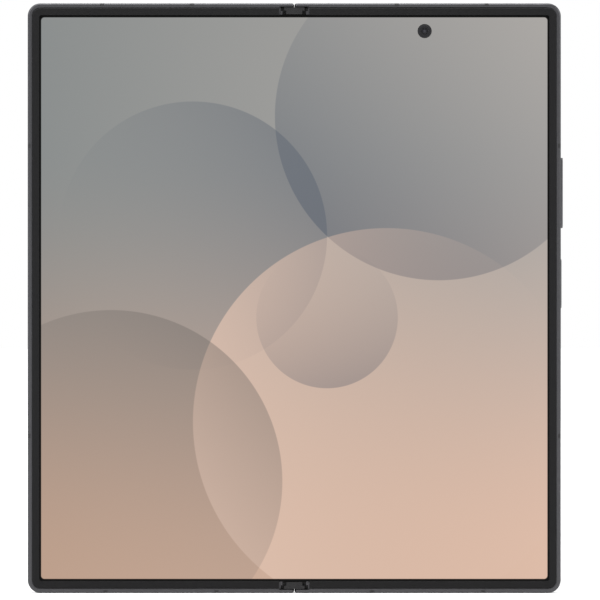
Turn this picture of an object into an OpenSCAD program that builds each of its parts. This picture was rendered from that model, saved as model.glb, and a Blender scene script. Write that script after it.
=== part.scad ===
// A book-style foldable phone, open and flat.
// Pieces are drawn lying down: x to the right, y up the phone, z towards the viewer, with z = 0
// halfway through the body. stand_up() then stands them on the bottom edge, display towards -Y.

/* [Body] */
// Width when open
body_w = 143.2; // [125:0.1:175]
// Height
body_h = 158.4; // [132:0.1:195]
// Thickness of one half
body_t = 4.2; // [4.0:0.05:5.2]
// Radius of the outer corners
corner_r = 3.5; // [2.5:0.1:6]
// Gap between the two frames when the phone is shut
shut_gap = 0.5; // [0.5:0.05:1]
// Gap between the two frames at the fold line when open
seam_gap = 0.1; // [0.06:0.02:0.2]
// Thickness of the frame's side walls
wall_t = 2.2; // [1.9:0.1:3]
// Width of the metal edge seen in front, round the rim
lip_w = 1.1; // [0.9:0.05:1.6]
// Width of the metal edge seen behind, round the glass
back_edge_w = 0.9; // [0.7:0.05:1.2]
// Width of the metal edge seen behind, along the fold
fold_edge_w = 2.6; // [2.2:0.1:3.2]
// Thickness of the back glass and of the cover glass
glass_t = 0.45; // [0.4:0.05:0.6]
// Thickness of the midplate under the display
midplate_t = 0.4; // [0.3:0.05:0.5]

/* [Display] */
// Thickness of the inner display
display_t = 0.6; // [0.5:0.05:0.7]
// Depth of the display's face below the front of the frame
display_sink = 0.1; // [0.05:0.05:0.2]
// Height of the rim above the display
rim_t = 0.3; // [0.2:0.02:0.34]
// Width of the rim at the sides
rim_side_w = 1.9; // [1.4:0.1:3]
// Width of the rim at the top and bottom
rim_end_w = 2; // [1.6:0.1:3]
// Gap between the rim and the metal edge
rim_gap = 0.15; // [0.1:0.05:0.3]
// How far the rim reaches over the display
rim_overlap = 0.15; // [0.1:0.05:0.4]
// Half of the break in the rim at the fold
rim_break = 4.1; // [4:0.1:6]
// Half width of the display's bending zone
bend_zone = 11.3; // [10.5:0.1:14]
// Place of the inner camera across the right half
inner_cam_x = 35.0; // [25:0.5:45]
// Depth of the inner camera below the top edge
inner_cam_drop = 7.5; // [6.5:0.1:12]
// Diameter of the hole in the display for it
inner_cam_d = 3.8; // [3:0.1:5]

/* [Hinge] */
// Half the distance between the two fold axes
fold_r = 1.35; // [1.25:0.05:1.65]
// Wall of the spine cover
spine_t = 0.4; // [0.3:0.05:0.45]
// Clearance between the spine cover and each half
spine_gap = 0.1; // [0.08:0.01:0.15]
// Thickness of the frame's top and bottom walls where they pass the spine
rail_t = 0.9; // [0.7:0.05:1]
// Clearance at the ends of the spine
end_gap = 0.2; // [0.15:0.05:0.3]
// Thickness of the plug part of an end cap
cap_plug_l = 1.0; // [0.8:0.1:1.5]
// Thickness of the outer part of an end cap
cap_flange_l = 0.9; // [0.7:0.1:1.2]
// Half width of an end cap's outer part above the spine
cap_half_w = 2.75; // [2.4:0.05:3]
// Half width of an end cap's plug part above the spine
cap_plug_half_w = 2.15; // [1.8:0.05:2.4]
// Distance of the end modules from the middle of the phone
module_y = 58; // [50:0.5:60]
// Width of one swing arm's slice
slice_l = 4.0; // [3.5:0.1:4.5]
// Thickness of the plates between the slices
plate_l = 1.0; // [0.8:0.1:1.2]
// Thickness of a swing arm's curved rail
rail_arc_t = 0.5; // [0.4:0.02:0.6]
// Running clearance of the curved rails
run_gap = 0.05; // [0.04:0.01:0.08]
// Pitch radius of the gears
gear_r = 0.6; // [0.55:0.01:0.65]
// Teeth on each gear
gear_teeth = 8; // [6:2:10]
// Face width of the gears
gear_l = 2.6; // [2:0.1:2.8]
// Length of the disc spring pocket
spring_l = 5.0; // [4:0.5:6]
// Disc springs on each shaft
spring_count = 12; // [6:1:14]
// Radius of the gear shafts
shaft_r = 0.25; // [0.2:0.01:0.28]
// Distance of the wing plates' pivots from the fold line
wing_x = 11.0; // [10:0.1:12]
// Distance of the wing plates' inner edges from the fold line
wing_in_x = 1.6; // [1.5:0.1:2.5]

/* [Keys] */
// Length of the volume rocker
volume_l = 19.0; // [14:0.1:24]
// Height of the volume rocker's centre above the middle of the phone
volume_y = 28.3; // [24:0.1:34]
// How far the volume rocker stands out
volume_out = 0.56; // [0.3:0.02:0.8]
// Length of the power key
power_l = 13.3; // [9:0.1:15]
// Height of the power key's centre above the middle of the phone
power_y = 3.9; // [0:0.1:6]
// How far the power key stands out
power_out = 0.22; // [0.1:0.02:0.5]
// Width of both keys across the edge
key_w = 2.0; // [1.6:0.1:2.4]
// Clearance round the keys
key_gap = 0.1; // [0.08:0.01:0.2]

/* [Ports] */
// Place of the socket across the right half
port_x = 35.8; // [30:0.1:40]
// Inner width of the socket
port_w = 8.34; // [8.3:0.01:8.4]
// Inner height of the socket
port_t = 2.56; // [2.5:0.01:2.6]
// Wall of the socket's shell
port_wall = 0.16; // [0.14:0.01:0.2]
// Depth of the socket
port_l = 7.3; // [6.5:0.1:8]
// Place of the card tray across the left half
tray_x = 59.5; // [56:0.1:60]
// Width of the tray's face
tray_w = 12.4; // [11.5:0.1:13]
// Depth of the tray
tray_l = 17.0; // [15:0.5:20]
// Place of the first loudspeaker hole
speaker_x = 54.0; // [53:0.1:56]
// Distance between the loudspeaker holes
speaker_pitch = 2.2; // [2:0.1:2.4]
// Loudspeaker holes
speaker_holes = 6; // [3:1:6]
// Radius of a loudspeaker hole
speaker_r = 0.6; // [0.4:0.05:0.7]
// Radius of a microphone hole
mic_r = 0.35; // [0.25:0.05:0.5]

/* [Antenna bands] */
// Width of a band
band_w = 1.1; // [0.8:0.05:1.4]
// Inner bands on the top edge
band_top_in = 27.5; // [24:0.1:32]
// Outer bands on the top edge
band_top_out = 51.65; // [50:0.1:52]
// Inner bands on the bottom edge
band_bottom_in = 20.9; // [18:0.1:24]
// Outer bands on the bottom edge
band_bottom_out = 50.7; // [50:0.1:52]
// Upper bands on the side edges
band_side_up = 40.9; // [39:0.1:60]
// Lower bands on the side edges, below the middle
band_side_down = 37.0; // [30:0.1:60]

/* [Rear cameras] */
// Distance of the lens centres from the outer edge
lens_edge = 13.5; // [12.5:0.1:16]
// Width of the camera plate
island_w = 19.0; // [17:0.1:22]
// Length of the camera plate
island_l = 58.0; // [54:0.5:64]
// Distance of the camera plate from the top edge
island_drop = 7.0; // [6:0.1:12]
// Thickness of the camera plate
island_t = 0.9; // [0.6:0.05:1.2]
// Height of a lens ring above the plate
ring_t = 0.9; // [0.6:0.05:1.2]
// Outer radius of a lens ring
ring_r = 7.4; // [6.5:0.1:8]
// Inner radius of a lens ring
ring_in_r = 5.7; // [5.3:0.1:6]
// Distance between the lenses
lens_pitch = 19.0; // [17:0.1:19]
// Radius of a lens barrel
barrel_r = 4.9; // [4:0.1:5]
// Side of a camera module's base
module_w = 12.0; // [10:0.1:12.5]

/* [Inside] */
// Height of the bottom board's space
bottom_h = 24; // [22:0.5:26]
// Thickness of the boards
board_t = 0.5; // [0.4:0.05:0.6]
// Clearance between the pieces inside
fit = 0.1; // [0.05:0.01:0.15]
// Left edge of the batteries, from the fold line
battery_x = 12.0; // [11.5:0.1:14]
// Radius of the screw threads in the boards
screw_r = 0.45; // [0.35:0.05:0.5]
// Radius of the screw heads
screw_head_r = 0.8; // [0.7:0.05:0.9]

/* [Hidden] */

$fn = 48;
// a little more than nothing, for cuts that run past a face
past = 1;
half_w = body_w / 2;
half_h = body_h / 2;
front_z = body_t / 2;
back_z = -body_t / 2;
inside_z = back_z + glass_t;
seam = seam_gap / 2;

// display and rim
display_z = front_z - display_sink;
display_back_z = display_z - display_t;
midplate_z = display_back_z - midplate_t;
rim_z = display_z + rim_t;
shut_z = front_z + shut_gap / 2;
rim_out_x = half_w - lip_w - rim_gap;
rim_out_y = half_h - lip_w - rim_gap;
rim_in_x = rim_out_x - rim_side_w;
rim_in_y = rim_out_y - rim_end_w;
display_x = rim_in_x + rim_overlap;
display_y = rim_in_y + rim_overlap;
wall_x = half_w - wall_t;
wall_y = half_h - wall_t;
band_t = back_edge_w - 0.1;
// width of a glued or pressed seam
seat = 0.05;

// hinge: two fold axes at x = +-fold_r, height axis_z
axis_z = shut_z - fold_r;
spine_z = inside_z + spine_gap;
spine_r = axis_z - spine_z;
spine_in_r = spine_r - spine_t;
spine_floor_z = spine_z + spine_t;
bay_r = spine_r + spine_gap;
bay_y = half_h - rail_t;
lip_share = 0.43;
lip_z = axis_z - lip_share * spine_r;
cap_y = bay_y - end_gap - cap_flange_l;
plug_y = cap_y - cap_plug_l;
cap_sink = 0.1;
cap_fit = 0.03;
cap_overlap = 0.2;
cap_z = display_z - cap_sink;
wing_end_gap = 0.2;
wing_y = display_y - wing_end_gap;
wing_room_y = wing_y + 0.3;
bracket_drop = 0.65;
bracket_z = axis_z - bracket_drop;
wing_z = (midplate_z + display_back_z) / 2;
wing_bead_r = midplate_t / 2;
rail_out_r = spine_in_r - run_gap;
rail_in_r = rail_out_r - rail_arc_t;
bridge_gap = 0.15;
bridge_t = 0.3;
bridge_low_z = lip_z + bridge_gap;
bridge_top_z = bridge_low_z + bridge_t;
arm_drop = 1.35;
arm_low_z = midplate_z - arm_drop;
arm_plate_t = 0.35;
arm_plate_z = arm_low_z + arm_plate_t;
arm_gap = 0.05;
arm_x = fold_r + spine_r + arm_gap;
arm_plate_x = 8.2;
arm_block_l = 0.8;
arm_screw_x = 7.0;
arm_screw_r = 0.4;
arm_screw_head_r = 0.75;
arm_screw_head_t = 0.2;
arm_screw_l = 0.6;
arm_screw_pitch = 5.6;
arm_foot_l = 4.0;
floor_end_x = 8.5;
cavity_x = 9.3;
ridge_drop = 0.6;
ridge_z = midplate_z - ridge_drop;
notch_x = 7.0;

// gears, in a row across the spine
gear_lift = 1.1;
gear_z = spine_floor_z + gear_lift;
gear_module = 2 * gear_r / gear_teeth;
gear_tip_r = gear_r + 0.75 * gear_module;
gear_root_r = gear_r - 1.05 * gear_module;
gear_bore_gap = 0.03;
shaft_fit = 0.01;
sync_x = 3 * gear_r;
sync_t = 0.45;
sync_low_z = gear_z - 0.65;
sync_step_x = arm_x + 0.2;
sync_step_l = 0.6;
sync_room = 0.25;
sync_end_x = 7.5;
pocket_l = gear_l + 0.4;
shaft_end_l = plate_l * 0.7;
spring_r = 0.55;
spring_t = 0.3;

// stations along the hinge: [place, direction, has gears]
stations = [[module_y, 1, true], [-module_y, -1, true], [(2 * slice_l + 3 * plate_l) / 2, 1, false]];
right_slice_y = -(2 * slice_l + 2 * plate_l);
left_slice_y = -(slice_l + plate_l);
bracket_low_y = right_slice_y - plate_l;
bracket_top_y = pocket_l + 2 * plate_l + spring_l;
flange_l = 3.0;
flange_t = 0.4;
boss_l = 0.4;
flange_low_z = spine_floor_z + boss_l;
flange_half_w = 1.6;
bracket_screw_y = bracket_low_y - flange_l / 2;
case_y = bracket_top_y - plate_l;
bracket_screw_r = 0.3;
bracket_screw_head_r = 0.6;
bracket_screw_head_t = 0.25;
boss_r = 0.8;

// keys and their switches
key_flange_x = wall_x - 0.35;
key_flange_t = 0.75;
key_flange_more = 0.7;
key_flange_w = midplate_z - inside_z - 2 * fit;
key_flange_z = (inside_z + midplate_z) / 2;
nub_r = 0.5;
nub_l = 0.1;
dome_gap = 0.3;
dome_r = 0.85;
dome_t = 0.4;
switch_t = 0.5;
dome_x = key_flange_x - key_flange_t - nub_l - dome_gap;
volume_dome_y = 6;

// rear cameras
island_x = half_w - lens_edge;
island_top_y = half_h - island_drop;
island_z = back_z - island_t;
ring_z = island_z - ring_t;
lens_glass_t = 0.4;
lens_sink = 0.1;
lens_y = [for (i = [0:2]) island_top_y - island_w / 2 - i * lens_pitch];
barrel_gap = 0.3;
flash_x = island_x - island_w / 2 - 3.5;
flash_r = 1.6;
flash_more_t = 0.2;

// inside
wall_clear = 0.5;
room_y = wall_y - wall_clear;
cell_top_z = midplate_z - seat;
coil_t = 0.3;
main_cell_low_z = inside_z + coil_t + 2 * seat;
cover_panel_t = 0.5;
cover_x = arm_x + 0.35;
skin = 0.02;
cover_panel_z = inside_z + cover_panel_t;
battery_top_y = island_top_y - island_l - 1;
battery_low_y = -room_y + bottom_h;
battery_x1 = wall_x - 3.4;
board_y = battery_top_y + 1;
left_battery_y = battery_top_y + 6;
left_board_y = left_battery_y + 1;
left_board_x1 = tray_x - tray_w / 2 - 1.5;
board_drop = 1.05;
board_z = midplate_z - board_drop;
board_top_z = board_z + board_t;
shield_gap = 0.25;
cover_gap = 0.1;
speaker_gap = 0.15;
board_x = 10.0;
board_x1 = island_x - module_w / 2 - 4;
screw_head_t = 0.3;
strip_y = lens_y[0] + module_w / 2 + 1;
inner_cam_y = half_h - inner_cam_drop;
inner_cam_r = inner_cam_d / 2 - seat;
inner_cam_body_r = 2.6;
inner_cam_lift = 0.5;
cover_cam_x = 36.0;
cover_cam_y = half_h - 7.7;
cover_cam_r = 2.0;
port_z = (inside_z + display_back_z) / 2;
port_out_w = port_w + 2 * port_wall;
port_out_t = port_t + 2 * port_wall;
port_gap = 0.05;
port_clear = 0.3;
bottom_board_l = 11;
bottom_board_r = 9;
tray_t = 2.2;
tray_gap = 0.1;
tray_face_l = 1.2;
holder_wall = 0.3;
holder_skin = 0.2;
holder_gap = 0.15;
coil_r = 21;
coil_in_r = 9;
magnet_l = 16;
magnet_gap = 0.6;
magnet_low = 1.0;
magnet_y = [-45, -25];
mic_x = 27;
mic_top_x = 40;
mic_l = 3;
mic_w = 2.4;
mic_t = 1.1;
ear_x = 15.5;
ear_l = 12;
ear_w = 8;
ear_room_l = 9;
ear_holes = 4;
flex_up = 5.8;
flex_pitch = 12;
flex_y = [left_board_y + flex_up, left_board_y + flex_up + flex_pitch];
flex_w = 6;
flex_t = 0.15;
flex_x = 13;

// ---------- helpers ----------

module stand_up() {
    translate([0, 0, half_h]) rotate([90, 0, 0]) children();
}

// the left half is drawn as a right one and mirrored
module on_left() {
    mirror([1, 0, 0]) children();
}

// box from its low corner to its high corner
module span(lo, hi) {
    translate(lo) cube([hi[0] - lo[0], hi[1] - lo[1], hi[2] - lo[2]]);
}

// extrudes a profile drawn in x and z along y
module along_y(y0, y1) {
    translate([0, y1, 0]) rotate([90, 0, 0]) linear_extrude(y1 - y0) children();
}

// extrudes a profile drawn in y and z along x
module along_x(x0, x1) {
    translate([x0, 0, 0]) rotate([90, 0, 90]) linear_extrude(x1 - x0) children();
}

module slot(l, w) {
    square([l - w, w], center = true);
    for (s = [-1, 1]) translate([s * (l - w) / 2, 0]) circle(w / 2);
}

module rounded(l, w, r) {
    square([l - 2 * r, w], center = true);
    square([l, w - 2 * r], center = true);
    for (sx = [-1, 1], sy = [-1, 1]) translate([sx * (l / 2 - r), sy * (w / 2 - r)]) circle(r);
}

module rounded_box(lo, hi, r) {
    translate([(lo[0] + hi[0]) / 2, (lo[1] + hi[1]) / 2, lo[2]])
        linear_extrude(hi[2] - lo[2]) rounded(hi[0] - lo[0], hi[1] - lo[1], r);
}

// plan of one half from x0 to x1, its two outer corners rounded
module half_plan(x0, x1, y1, r) {
    translate([x0, -y1]) square([x1 - r - x0, 2 * y1]);
    translate([x0, r - y1]) square([x1 - x0, 2 * (y1 - r)]);
    for (s = [-1, 1]) translate([x1 - r, s * (y1 - r)]) circle(r);
}

module half_slab(x0, x1, y1, r, z0, z1) {
    translate([0, 0, z0]) linear_extrude(z1 - z0) half_plan(x0, x1, y1, r);
}

// section of the spine: two rounds about the fold axes, with a flat floor, cut off level at top
module spine_section(r, floor_z, top_z) {
    wide = fold_r + r + past;
    intersection() {
        union() {
            for (s = [-1, 1]) translate([s * fold_r, axis_z]) circle(r);
            translate([-fold_r, axis_z - r]) square([2 * fold_r, r]);
        }
        translate([-wide, floor_z]) square([2 * wide, top_z - floor_z]);
    }
}

// places children at each hinge station that suits; with_gears leaves out the middle one
module at_stations(with_gears) {
    for (s = stations)
        if (s[2] || !with_gears) translate([0, s[0], 0]) scale_y(s[1]) children();
}

module scale_y(way) {
    if (way > 0) children();
    else mirror([0, 1, 0]) children();
}

// ---------- frames ----------

// room for the spine, open towards the display, in one half
module spine_bay() {
    along_y(-bay_y, bay_y) translate([fold_r, axis_z]) circle(bay_r, $fn = 96);
    span([-past, -bay_y, inside_z], [fold_r, bay_y, front_z + past]);
    span([-past, -bay_y, arm_low_z], [rim_break, bay_y, front_z + past]);
    span([rim_break - past, -wing_room_y, arm_low_z], [floor_end_x, wing_room_y, front_z + past]);
    span([floor_end_x - past, -wing_room_y, ridge_z], [bend_zone, wing_room_y, front_z + past]);
}

// the front corner of the frame's ends is rounded about the fold axis, so that they roll past each other
module rail_end_rounding() {
    along_y(-half_h - past, half_h + past) difference() {
        translate([-past, axis_z]) square([past + fold_r, front_z - axis_z + past]);
        translate([fold_r, axis_z]) circle(fold_r - seam);
    }
}

module wing_groove() {
    along_y(-wing_room_y, wing_room_y) translate([wing_x, wing_z]) circle(wing_bead_r + run_gap);
}

// places of the two screws in a swing arm's foot, from the low end of its slice
function arm_screw_ys(slice_y) = [
    for (s = [-1, 1]) slice_y + (slice_l - arm_foot_l) / 2 + s * arm_screw_pitch / 2
];

module half_body(slice_y) {
    difference() {
        half_slab(seam, half_w, half_h, corner_r, back_z, front_z);
        spine_bay();
        rail_end_rounding();
        wing_groove();
        half_slab(rim_break, half_w - lip_w, half_h - lip_w, corner_r - lip_w,
            display_back_z, front_z + past);
        half_slab(cavity_x, wall_x, wall_y, 1, inside_z, midplate_z);
        half_slab(fold_edge_w, half_w - back_edge_w, half_h - back_edge_w, corner_r - back_edge_w,
            back_z - past, inside_z);
        at_stations(false)
            for (y = arm_screw_ys(slice_y))
                translate([arm_screw_x, y, arm_low_z - arm_screw_l - fit])
                    cylinder(h = arm_screw_l + fit + past, r = arm_screw_r, $fn = 24);
        at_stations(true)
            span([fold_r, 0, sync_low_z - sync_room], [sync_end_x + 2 * sync_room, pocket_l, midplate_z]);
        bands();
    }
}

function edge_bands() = [
    [band_top_in, 1], [band_top_out, 1], [band_bottom_in, -1], [band_bottom_out, -1]
];

module bands() {
    for (b = edge_bands())
        span([b[0] - band_w / 2, b[1] > 0 ? half_h - band_t : -half_h, back_z],
            [b[0] + band_w / 2, b[1] > 0 ? half_h : band_t - half_h, front_z]);
    for (y = [band_side_up, -band_side_down])
        span([half_w - band_t, y - band_w / 2, back_z], [half_w, y + band_w / 2, front_z]);
}

module right_frame() {
    color("dimgray") stand_up() difference() {
        half_body(right_slice_y);
        along_x(wall_x - past, half_w + past) {
            translate([volume_y, 0]) slot(volume_l + 2 * key_gap, key_w + 2 * key_gap);
            translate([power_y, 0]) slot(power_l + 2 * key_gap, key_w + 2 * key_gap);
        }
        along_y(-half_h - past, -wall_y + port_l)
            translate([port_x, port_z]) slot(port_out_w + 2 * port_gap, port_out_t + 2 * port_gap);
        for (i = [0:speaker_holes - 1])
            along_y(-half_h - past, -wall_y + past) translate([speaker_x + i * speaker_pitch, 0])
                circle(speaker_r);
        along_y(-half_h - past, -wall_y + past) translate([mic_x, 0]) circle(mic_r);
        along_y(wall_y - past, half_h + past) translate([mic_top_x, 0]) circle(mic_r);
        translate([inner_cam_x, inner_cam_y, midplate_z - past])
            cylinder(h = midplate_t + 2 * past, r = inner_cam_r + fit);
    }
}

module left_frame() {
    color("dimgray") stand_up() on_left() difference() {
        half_body(left_slice_y);
        half_slab(cover_x - seat, wall_x, wall_y, 1, inside_z - past, cover_panel_z + skin);
        along_y(wall_y - past, half_h + past)
            translate([tray_x, 0]) slot(tray_w + 2 * tray_gap, tray_t + 2 * tray_gap);
        for (i = [0:ear_holes - 1])
            along_y(wall_y - past, half_h + past) translate([ear_x + i * speaker_pitch, 0])
                circle(speaker_r);
    }
}

module bezel() {
    lift = display_back_z;
    difference() {
        half_slab(rim_break, rim_out_x, rim_out_y, corner_r - lip_w - rim_gap, lift, rim_z);
        half_slab(rim_break - past, rim_in_x, rim_in_y, 0.6, display_z - past, rim_z + past);
        half_slab(rim_break - past, display_x + fit, display_y + fit, 0.6, lift - past, display_z);
    }
}

module right_bezel() {
    color("#232323") stand_up() bezel();
}

module left_bezel() {
    color("#232323") stand_up() on_left() bezel();
}

module right_antenna_bands() {
    color("#3a3a3c") stand_up() bands();
}

module left_antenna_bands() {
    color("#3a3a3c") stand_up() on_left() bands();
}

module back_panel() {
    half_slab(fold_edge_w + seat, half_w - back_edge_w - seat, half_h - back_edge_w - seat,
        corner_r - back_edge_w, back_z, inside_z);
}

// ---------- display ----------

module display_half() {
    half_slab(bend_zone, display_x, display_y, 0.6, display_back_z, display_z);
}

module right_display_panel() {
    color("#b8a898") stand_up() difference() {
        display_half();
        translate([inner_cam_x, inner_cam_y, display_back_z - past])
            cylinder(h = display_t + 2 * past, d = inner_cam_d);
    }
}

module left_display_panel() {
    color("#a0a0a0") stand_up() on_left() display_half();
}

module display_bend_zone() {
    color("#a8a29a") stand_up()
        span([-bend_zone, -display_y, display_back_z], [bend_zone, display_y, display_z]);
}

// ---------- rear cameras and back ----------

module rear_glass() {
    color("#2b2c2e") stand_up() difference() {
        back_panel();
        for (y = lens_y) translate([island_x, y, back_z - past])
            cylinder(h = glass_t + 2 * past, r = barrel_r + barrel_gap);
        translate([flash_x, lens_y[0], back_z - past]) cylinder(h = glass_t + 2 * past, r = flash_r + seat);
    }
}

module camera_plate() {
    color("#333436") stand_up() difference() {
        translate([island_x, island_top_y - island_l / 2, island_z])
            linear_extrude(island_t) rotate(90) slot(island_l, island_w);
        for (y = lens_y) translate([island_x, y, island_z - past])
            cylinder(h = island_t + 2 * past, r = barrel_r + barrel_gap);
    }
}

module camera_rings() {
    color("#4a4b4d") stand_up() for (y = lens_y) translate([island_x, y, ring_z]) difference() {
        cylinder(h = ring_t, r = ring_r, $fn = 96);
        translate([0, 0, -past]) cylinder(h = ring_t + 2 * past, r = ring_in_r, $fn = 96);
    }
}

module camera_lenses() {
    color("#101216") stand_up() for (y = lens_y) translate([island_x, y, ring_z + lens_sink])
        cylinder(h = lens_glass_t, r = ring_in_r - seat);
}

module camera_modules() {
    color("#1c1c20") stand_up() for (y = lens_y) {
        translate([island_x, y, ring_z + lens_sink + lens_glass_t])
            cylinder(h = inside_z + fit - ring_z - lens_sink - lens_glass_t, r = barrel_r);
        rounded_box([island_x - module_w / 2, y - module_w / 2, inside_z + fit],
            [island_x + module_w / 2, y + module_w / 2, cell_top_z], 0.8);
    }
}

module camera_flash() {
    color("#e8dfb8") stand_up() translate([flash_x, lens_y[0], back_z])
        cylinder(h = glass_t + flash_more_t, r = flash_r);
}

// ---------- inside the right half ----------

function main_screws() = [
    [board_x + 2, board_y + 2], [board_x1 - 2, board_y + 2], [board_x + 2, room_y - 2],
    [battery_x1 - 2, room_y - 2]
];

function bottom_screws() = [[port_x - 7, -room_y + 17], [port_x + 7, -room_y + 17]];

module main_board() {
    color("#1f4d38") stand_up() difference() {
        union() {
            span([board_x, board_y, board_z], [board_x1, room_y, board_top_z]);
            span([board_x1 - past, strip_y, board_z], [battery_x1, room_y, board_top_z]);
        }
        for (p = main_screws()) translate([p[0], p[1], board_z - past])
            cylinder(h = board_t + 2 * past, r = screw_r + fit);
        translate([inner_cam_x, inner_cam_y, board_z - past])
            cylinder(h = board_t + 2 * past, r = inner_cam_body_r + fit);
    }
}

module board_shields() {
    shield_low_z = inside_z + shield_gap;
    color("silver") stand_up() {
        rounded_box([board_x + 4, board_y + 4, shield_low_z], [board_x1 - 1, board_y + 26, board_z], 0.8);
        rounded_box([board_x + 4, board_y + 28, shield_low_z],
            [board_x1 - 4, inner_cam_y - inner_cam_body_r - 1, board_z], 0.8);
    }
}

module battery(low_z, top_y) {
    rounded_box([battery_x, battery_low_y, low_z], [battery_x1, top_y, cell_top_z], 1.5);
}

module main_battery() {
    color("#26282b") stand_up() battery(main_cell_low_z, battery_top_y);
}

module charging_coil() {
    coil_y = (battery_low_y + battery_top_y) / 2;
    color("#a8672e") stand_up() translate([half_w / 2, coil_y, inside_z + seat]) difference() {
        cylinder(h = coil_t, r = coil_r, $fn = 96);
        translate([0, 0, -past]) cylinder(h = coil_t + 2 * past, r = coil_in_r, $fn = 96);
    }
}

module usb_port() {
    tongue_w = 6.69;
    tongue_t = 0.7;
    tongue_l = 4.45;
    back_l = 0.8;
    color("silver") stand_up() {
        along_y(-half_h, -half_h + port_l) translate([port_x, port_z]) difference() {
            slot(port_out_w, port_out_t);
            slot(port_w, port_t);
        }
        along_y(-half_h + port_l - back_l, -half_h + port_l)
            translate([port_x, port_z]) slot(port_w + port_wall, port_t + port_wall);
        span([port_x - tongue_w / 2, -half_h + port_l - back_l - tongue_l, port_z - tongue_t / 2],
            [port_x + tongue_w / 2, -half_h + port_l - back_l + 0.2, port_z + tongue_t / 2]);
    }
}

module bottom_board() {
    color("#1f4d38") stand_up() difference() {
        span([port_x - bottom_board_l, -half_h + port_l + port_clear, board_z],
            [port_x + bottom_board_r, battery_low_y - 1, board_top_z]);
        for (p = bottom_screws()) translate([p[0], p[1], board_z - past])
            cylinder(h = board_t + 2 * past, r = screw_r + fit);
    }
}

module loudspeaker() {
    color("#1a1a1a") stand_up() rounded_box([port_x + bottom_board_r + 1, -room_y, inside_z + speaker_gap],
        [battery_x1, battery_low_y - 3, cell_top_z], 2);
}

module vibration_motor() {
    color("#8c8f94") stand_up() rounded_box([battery_x, -room_y + 2, inside_z + speaker_gap],
        [battery_x + 10, battery_low_y - 4, cell_top_z], 1.5);
}

module microphones() {
    color("goldenrod") stand_up() {
        span([mic_x - mic_l / 2, -wall_y + seat, -mic_t / 2],
            [mic_x + mic_l / 4, -wall_y + mic_w, mic_t / 2]);
        span([mic_top_x - mic_l / 2, wall_y - mic_w, board_top_z],
            [mic_top_x + mic_l / 2, wall_y - seat, cell_top_z]);
    }
}

module inner_camera() {
    color("#0c0c10") stand_up() translate([inner_cam_x, inner_cam_y, 0]) {
        translate([0, 0, midplate_z - past])
            cylinder(h = display_z - seat - midplate_z + past, r = inner_cam_r);
        translate([0, 0, inside_z + inner_cam_lift])
            cylinder(h = cell_top_z - inside_z - inner_cam_lift, r = inner_cam_body_r);
    }
}

module side_key_switches() {
    color("#b87a3a") stand_up() {
        span([dome_x - dome_t - switch_t, power_y - power_l / 2, -dome_r - seat],
            [dome_x - dome_t, volume_y + volume_l / 2, midplate_z - fit]);
        for (y = [volume_y - volume_dome_y, volume_y + volume_dome_y, power_y])
            translate([dome_x - dome_t, y, 0]) rotate([0, 90, 0]) cylinder(h = dome_t, r = dome_r);
    }
}

module magnets() {
    for (y = magnet_y)
        span([battery_x1 + magnet_gap, y, -magnet_low], [wall_x - seat, y + magnet_l, cell_top_z]);
}

module right_magnets() {
    color("#9a9ca0") stand_up() magnets();
}

module screws(places) {
    for (p = places) translate([p[0], p[1], 0]) {
        translate([0, 0, board_z - screw_head_t]) cylinder(h = screw_head_t, r = screw_head_r, $fn = 24);
        translate([0, 0, board_z - seat]) cylinder(h = cell_top_z + seat - board_z, r = screw_r, $fn = 24);
    }
}

module right_screws() {
    color("#c0c2c6") stand_up() screws(concat(main_screws(), bottom_screws()));
}

// ---------- keys ----------

module key(y, l, out, nubs) {
    along_x(key_flange_x - key_flange_t / 2, half_w + out) translate([y, 0]) slot(l, key_w);
    along_x(key_flange_x - key_flange_t, key_flange_x)
        translate([y, key_flange_z]) slot(l + 2 * key_flange_more, key_flange_w);
    for (dy = nubs) translate([key_flange_x - key_flange_t - nub_l, y + dy, 0]) rotate([0, 90, 0])
        cylinder(h = nub_l + past / 2, r = nub_r);
}

module volume_key() {
    color("#4a4a4c") stand_up() key(volume_y, volume_l, volume_out, [-volume_dome_y, volume_dome_y]);
}

module power_key() {
    color("#4a4a4c") stand_up() key(power_y, power_l, power_out, [0]);
}

// ---------- inside the left half ----------

module cover_glass() {
    color("#0e0f11") stand_up() on_left() back_panel();
}

module cover_display_panel() {
    color("#15161a") stand_up() on_left() difference() {
        half_slab(cover_x, wall_x - fit, wall_y - fit, 1, inside_z + skin, cover_panel_z);
        translate([cover_cam_x, cover_cam_y, inside_z - past])
            cylinder(h = cover_panel_t + 2 * past, r = cover_cam_r + cover_gap);
    }
}

module cover_camera() {
    color("#0c0c10") stand_up() on_left() translate([cover_cam_x, cover_cam_y, 0]) {
        translate([0, 0, inside_z + skin]) cylinder(h = cell_top_z - inside_z - skin, r = cover_cam_r);
        translate([0, 0, cover_panel_z + cover_gap])
            cylinder(h = cell_top_z - cover_panel_z - cover_gap, r = inner_cam_body_r);
    }
}

module left_battery() {
    color("#26282b") stand_up() on_left() battery(cover_panel_z + cover_gap, left_battery_y);
}

function left_screw_places() = [
    [board_x + 2, left_board_y + 2], [left_board_x1 - 2, left_board_y + 2],
    [left_board_x1 - 2, room_y - 2]
];

module left_board() {
    color("#1f4d38") stand_up() on_left() difference() {
        span([board_x, left_board_y, board_z], [left_board_x1, room_y, board_top_z]);
        for (p = left_screw_places()) translate([p[0], p[1], board_z - past])
            cylinder(h = board_t + 2 * past, r = screw_r + fit);
        translate([cover_cam_x, cover_cam_y, board_z - past])
            cylinder(h = board_t + 2 * past, r = inner_cam_body_r + fit);
        span([board_x - past, room_y - ear_room_l, board_z - past],
            [ear_x + ear_l, room_y + past, board_top_z + past]);
    }
}

module left_board_shield() {
    color("silver") stand_up() on_left() rounded_box(
        [board_x + 4, left_board_y + 4, cover_panel_z + speaker_gap],
        [left_board_x1 - 4, cover_cam_y - inner_cam_body_r - 6, board_z], 0.8);
}

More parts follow.
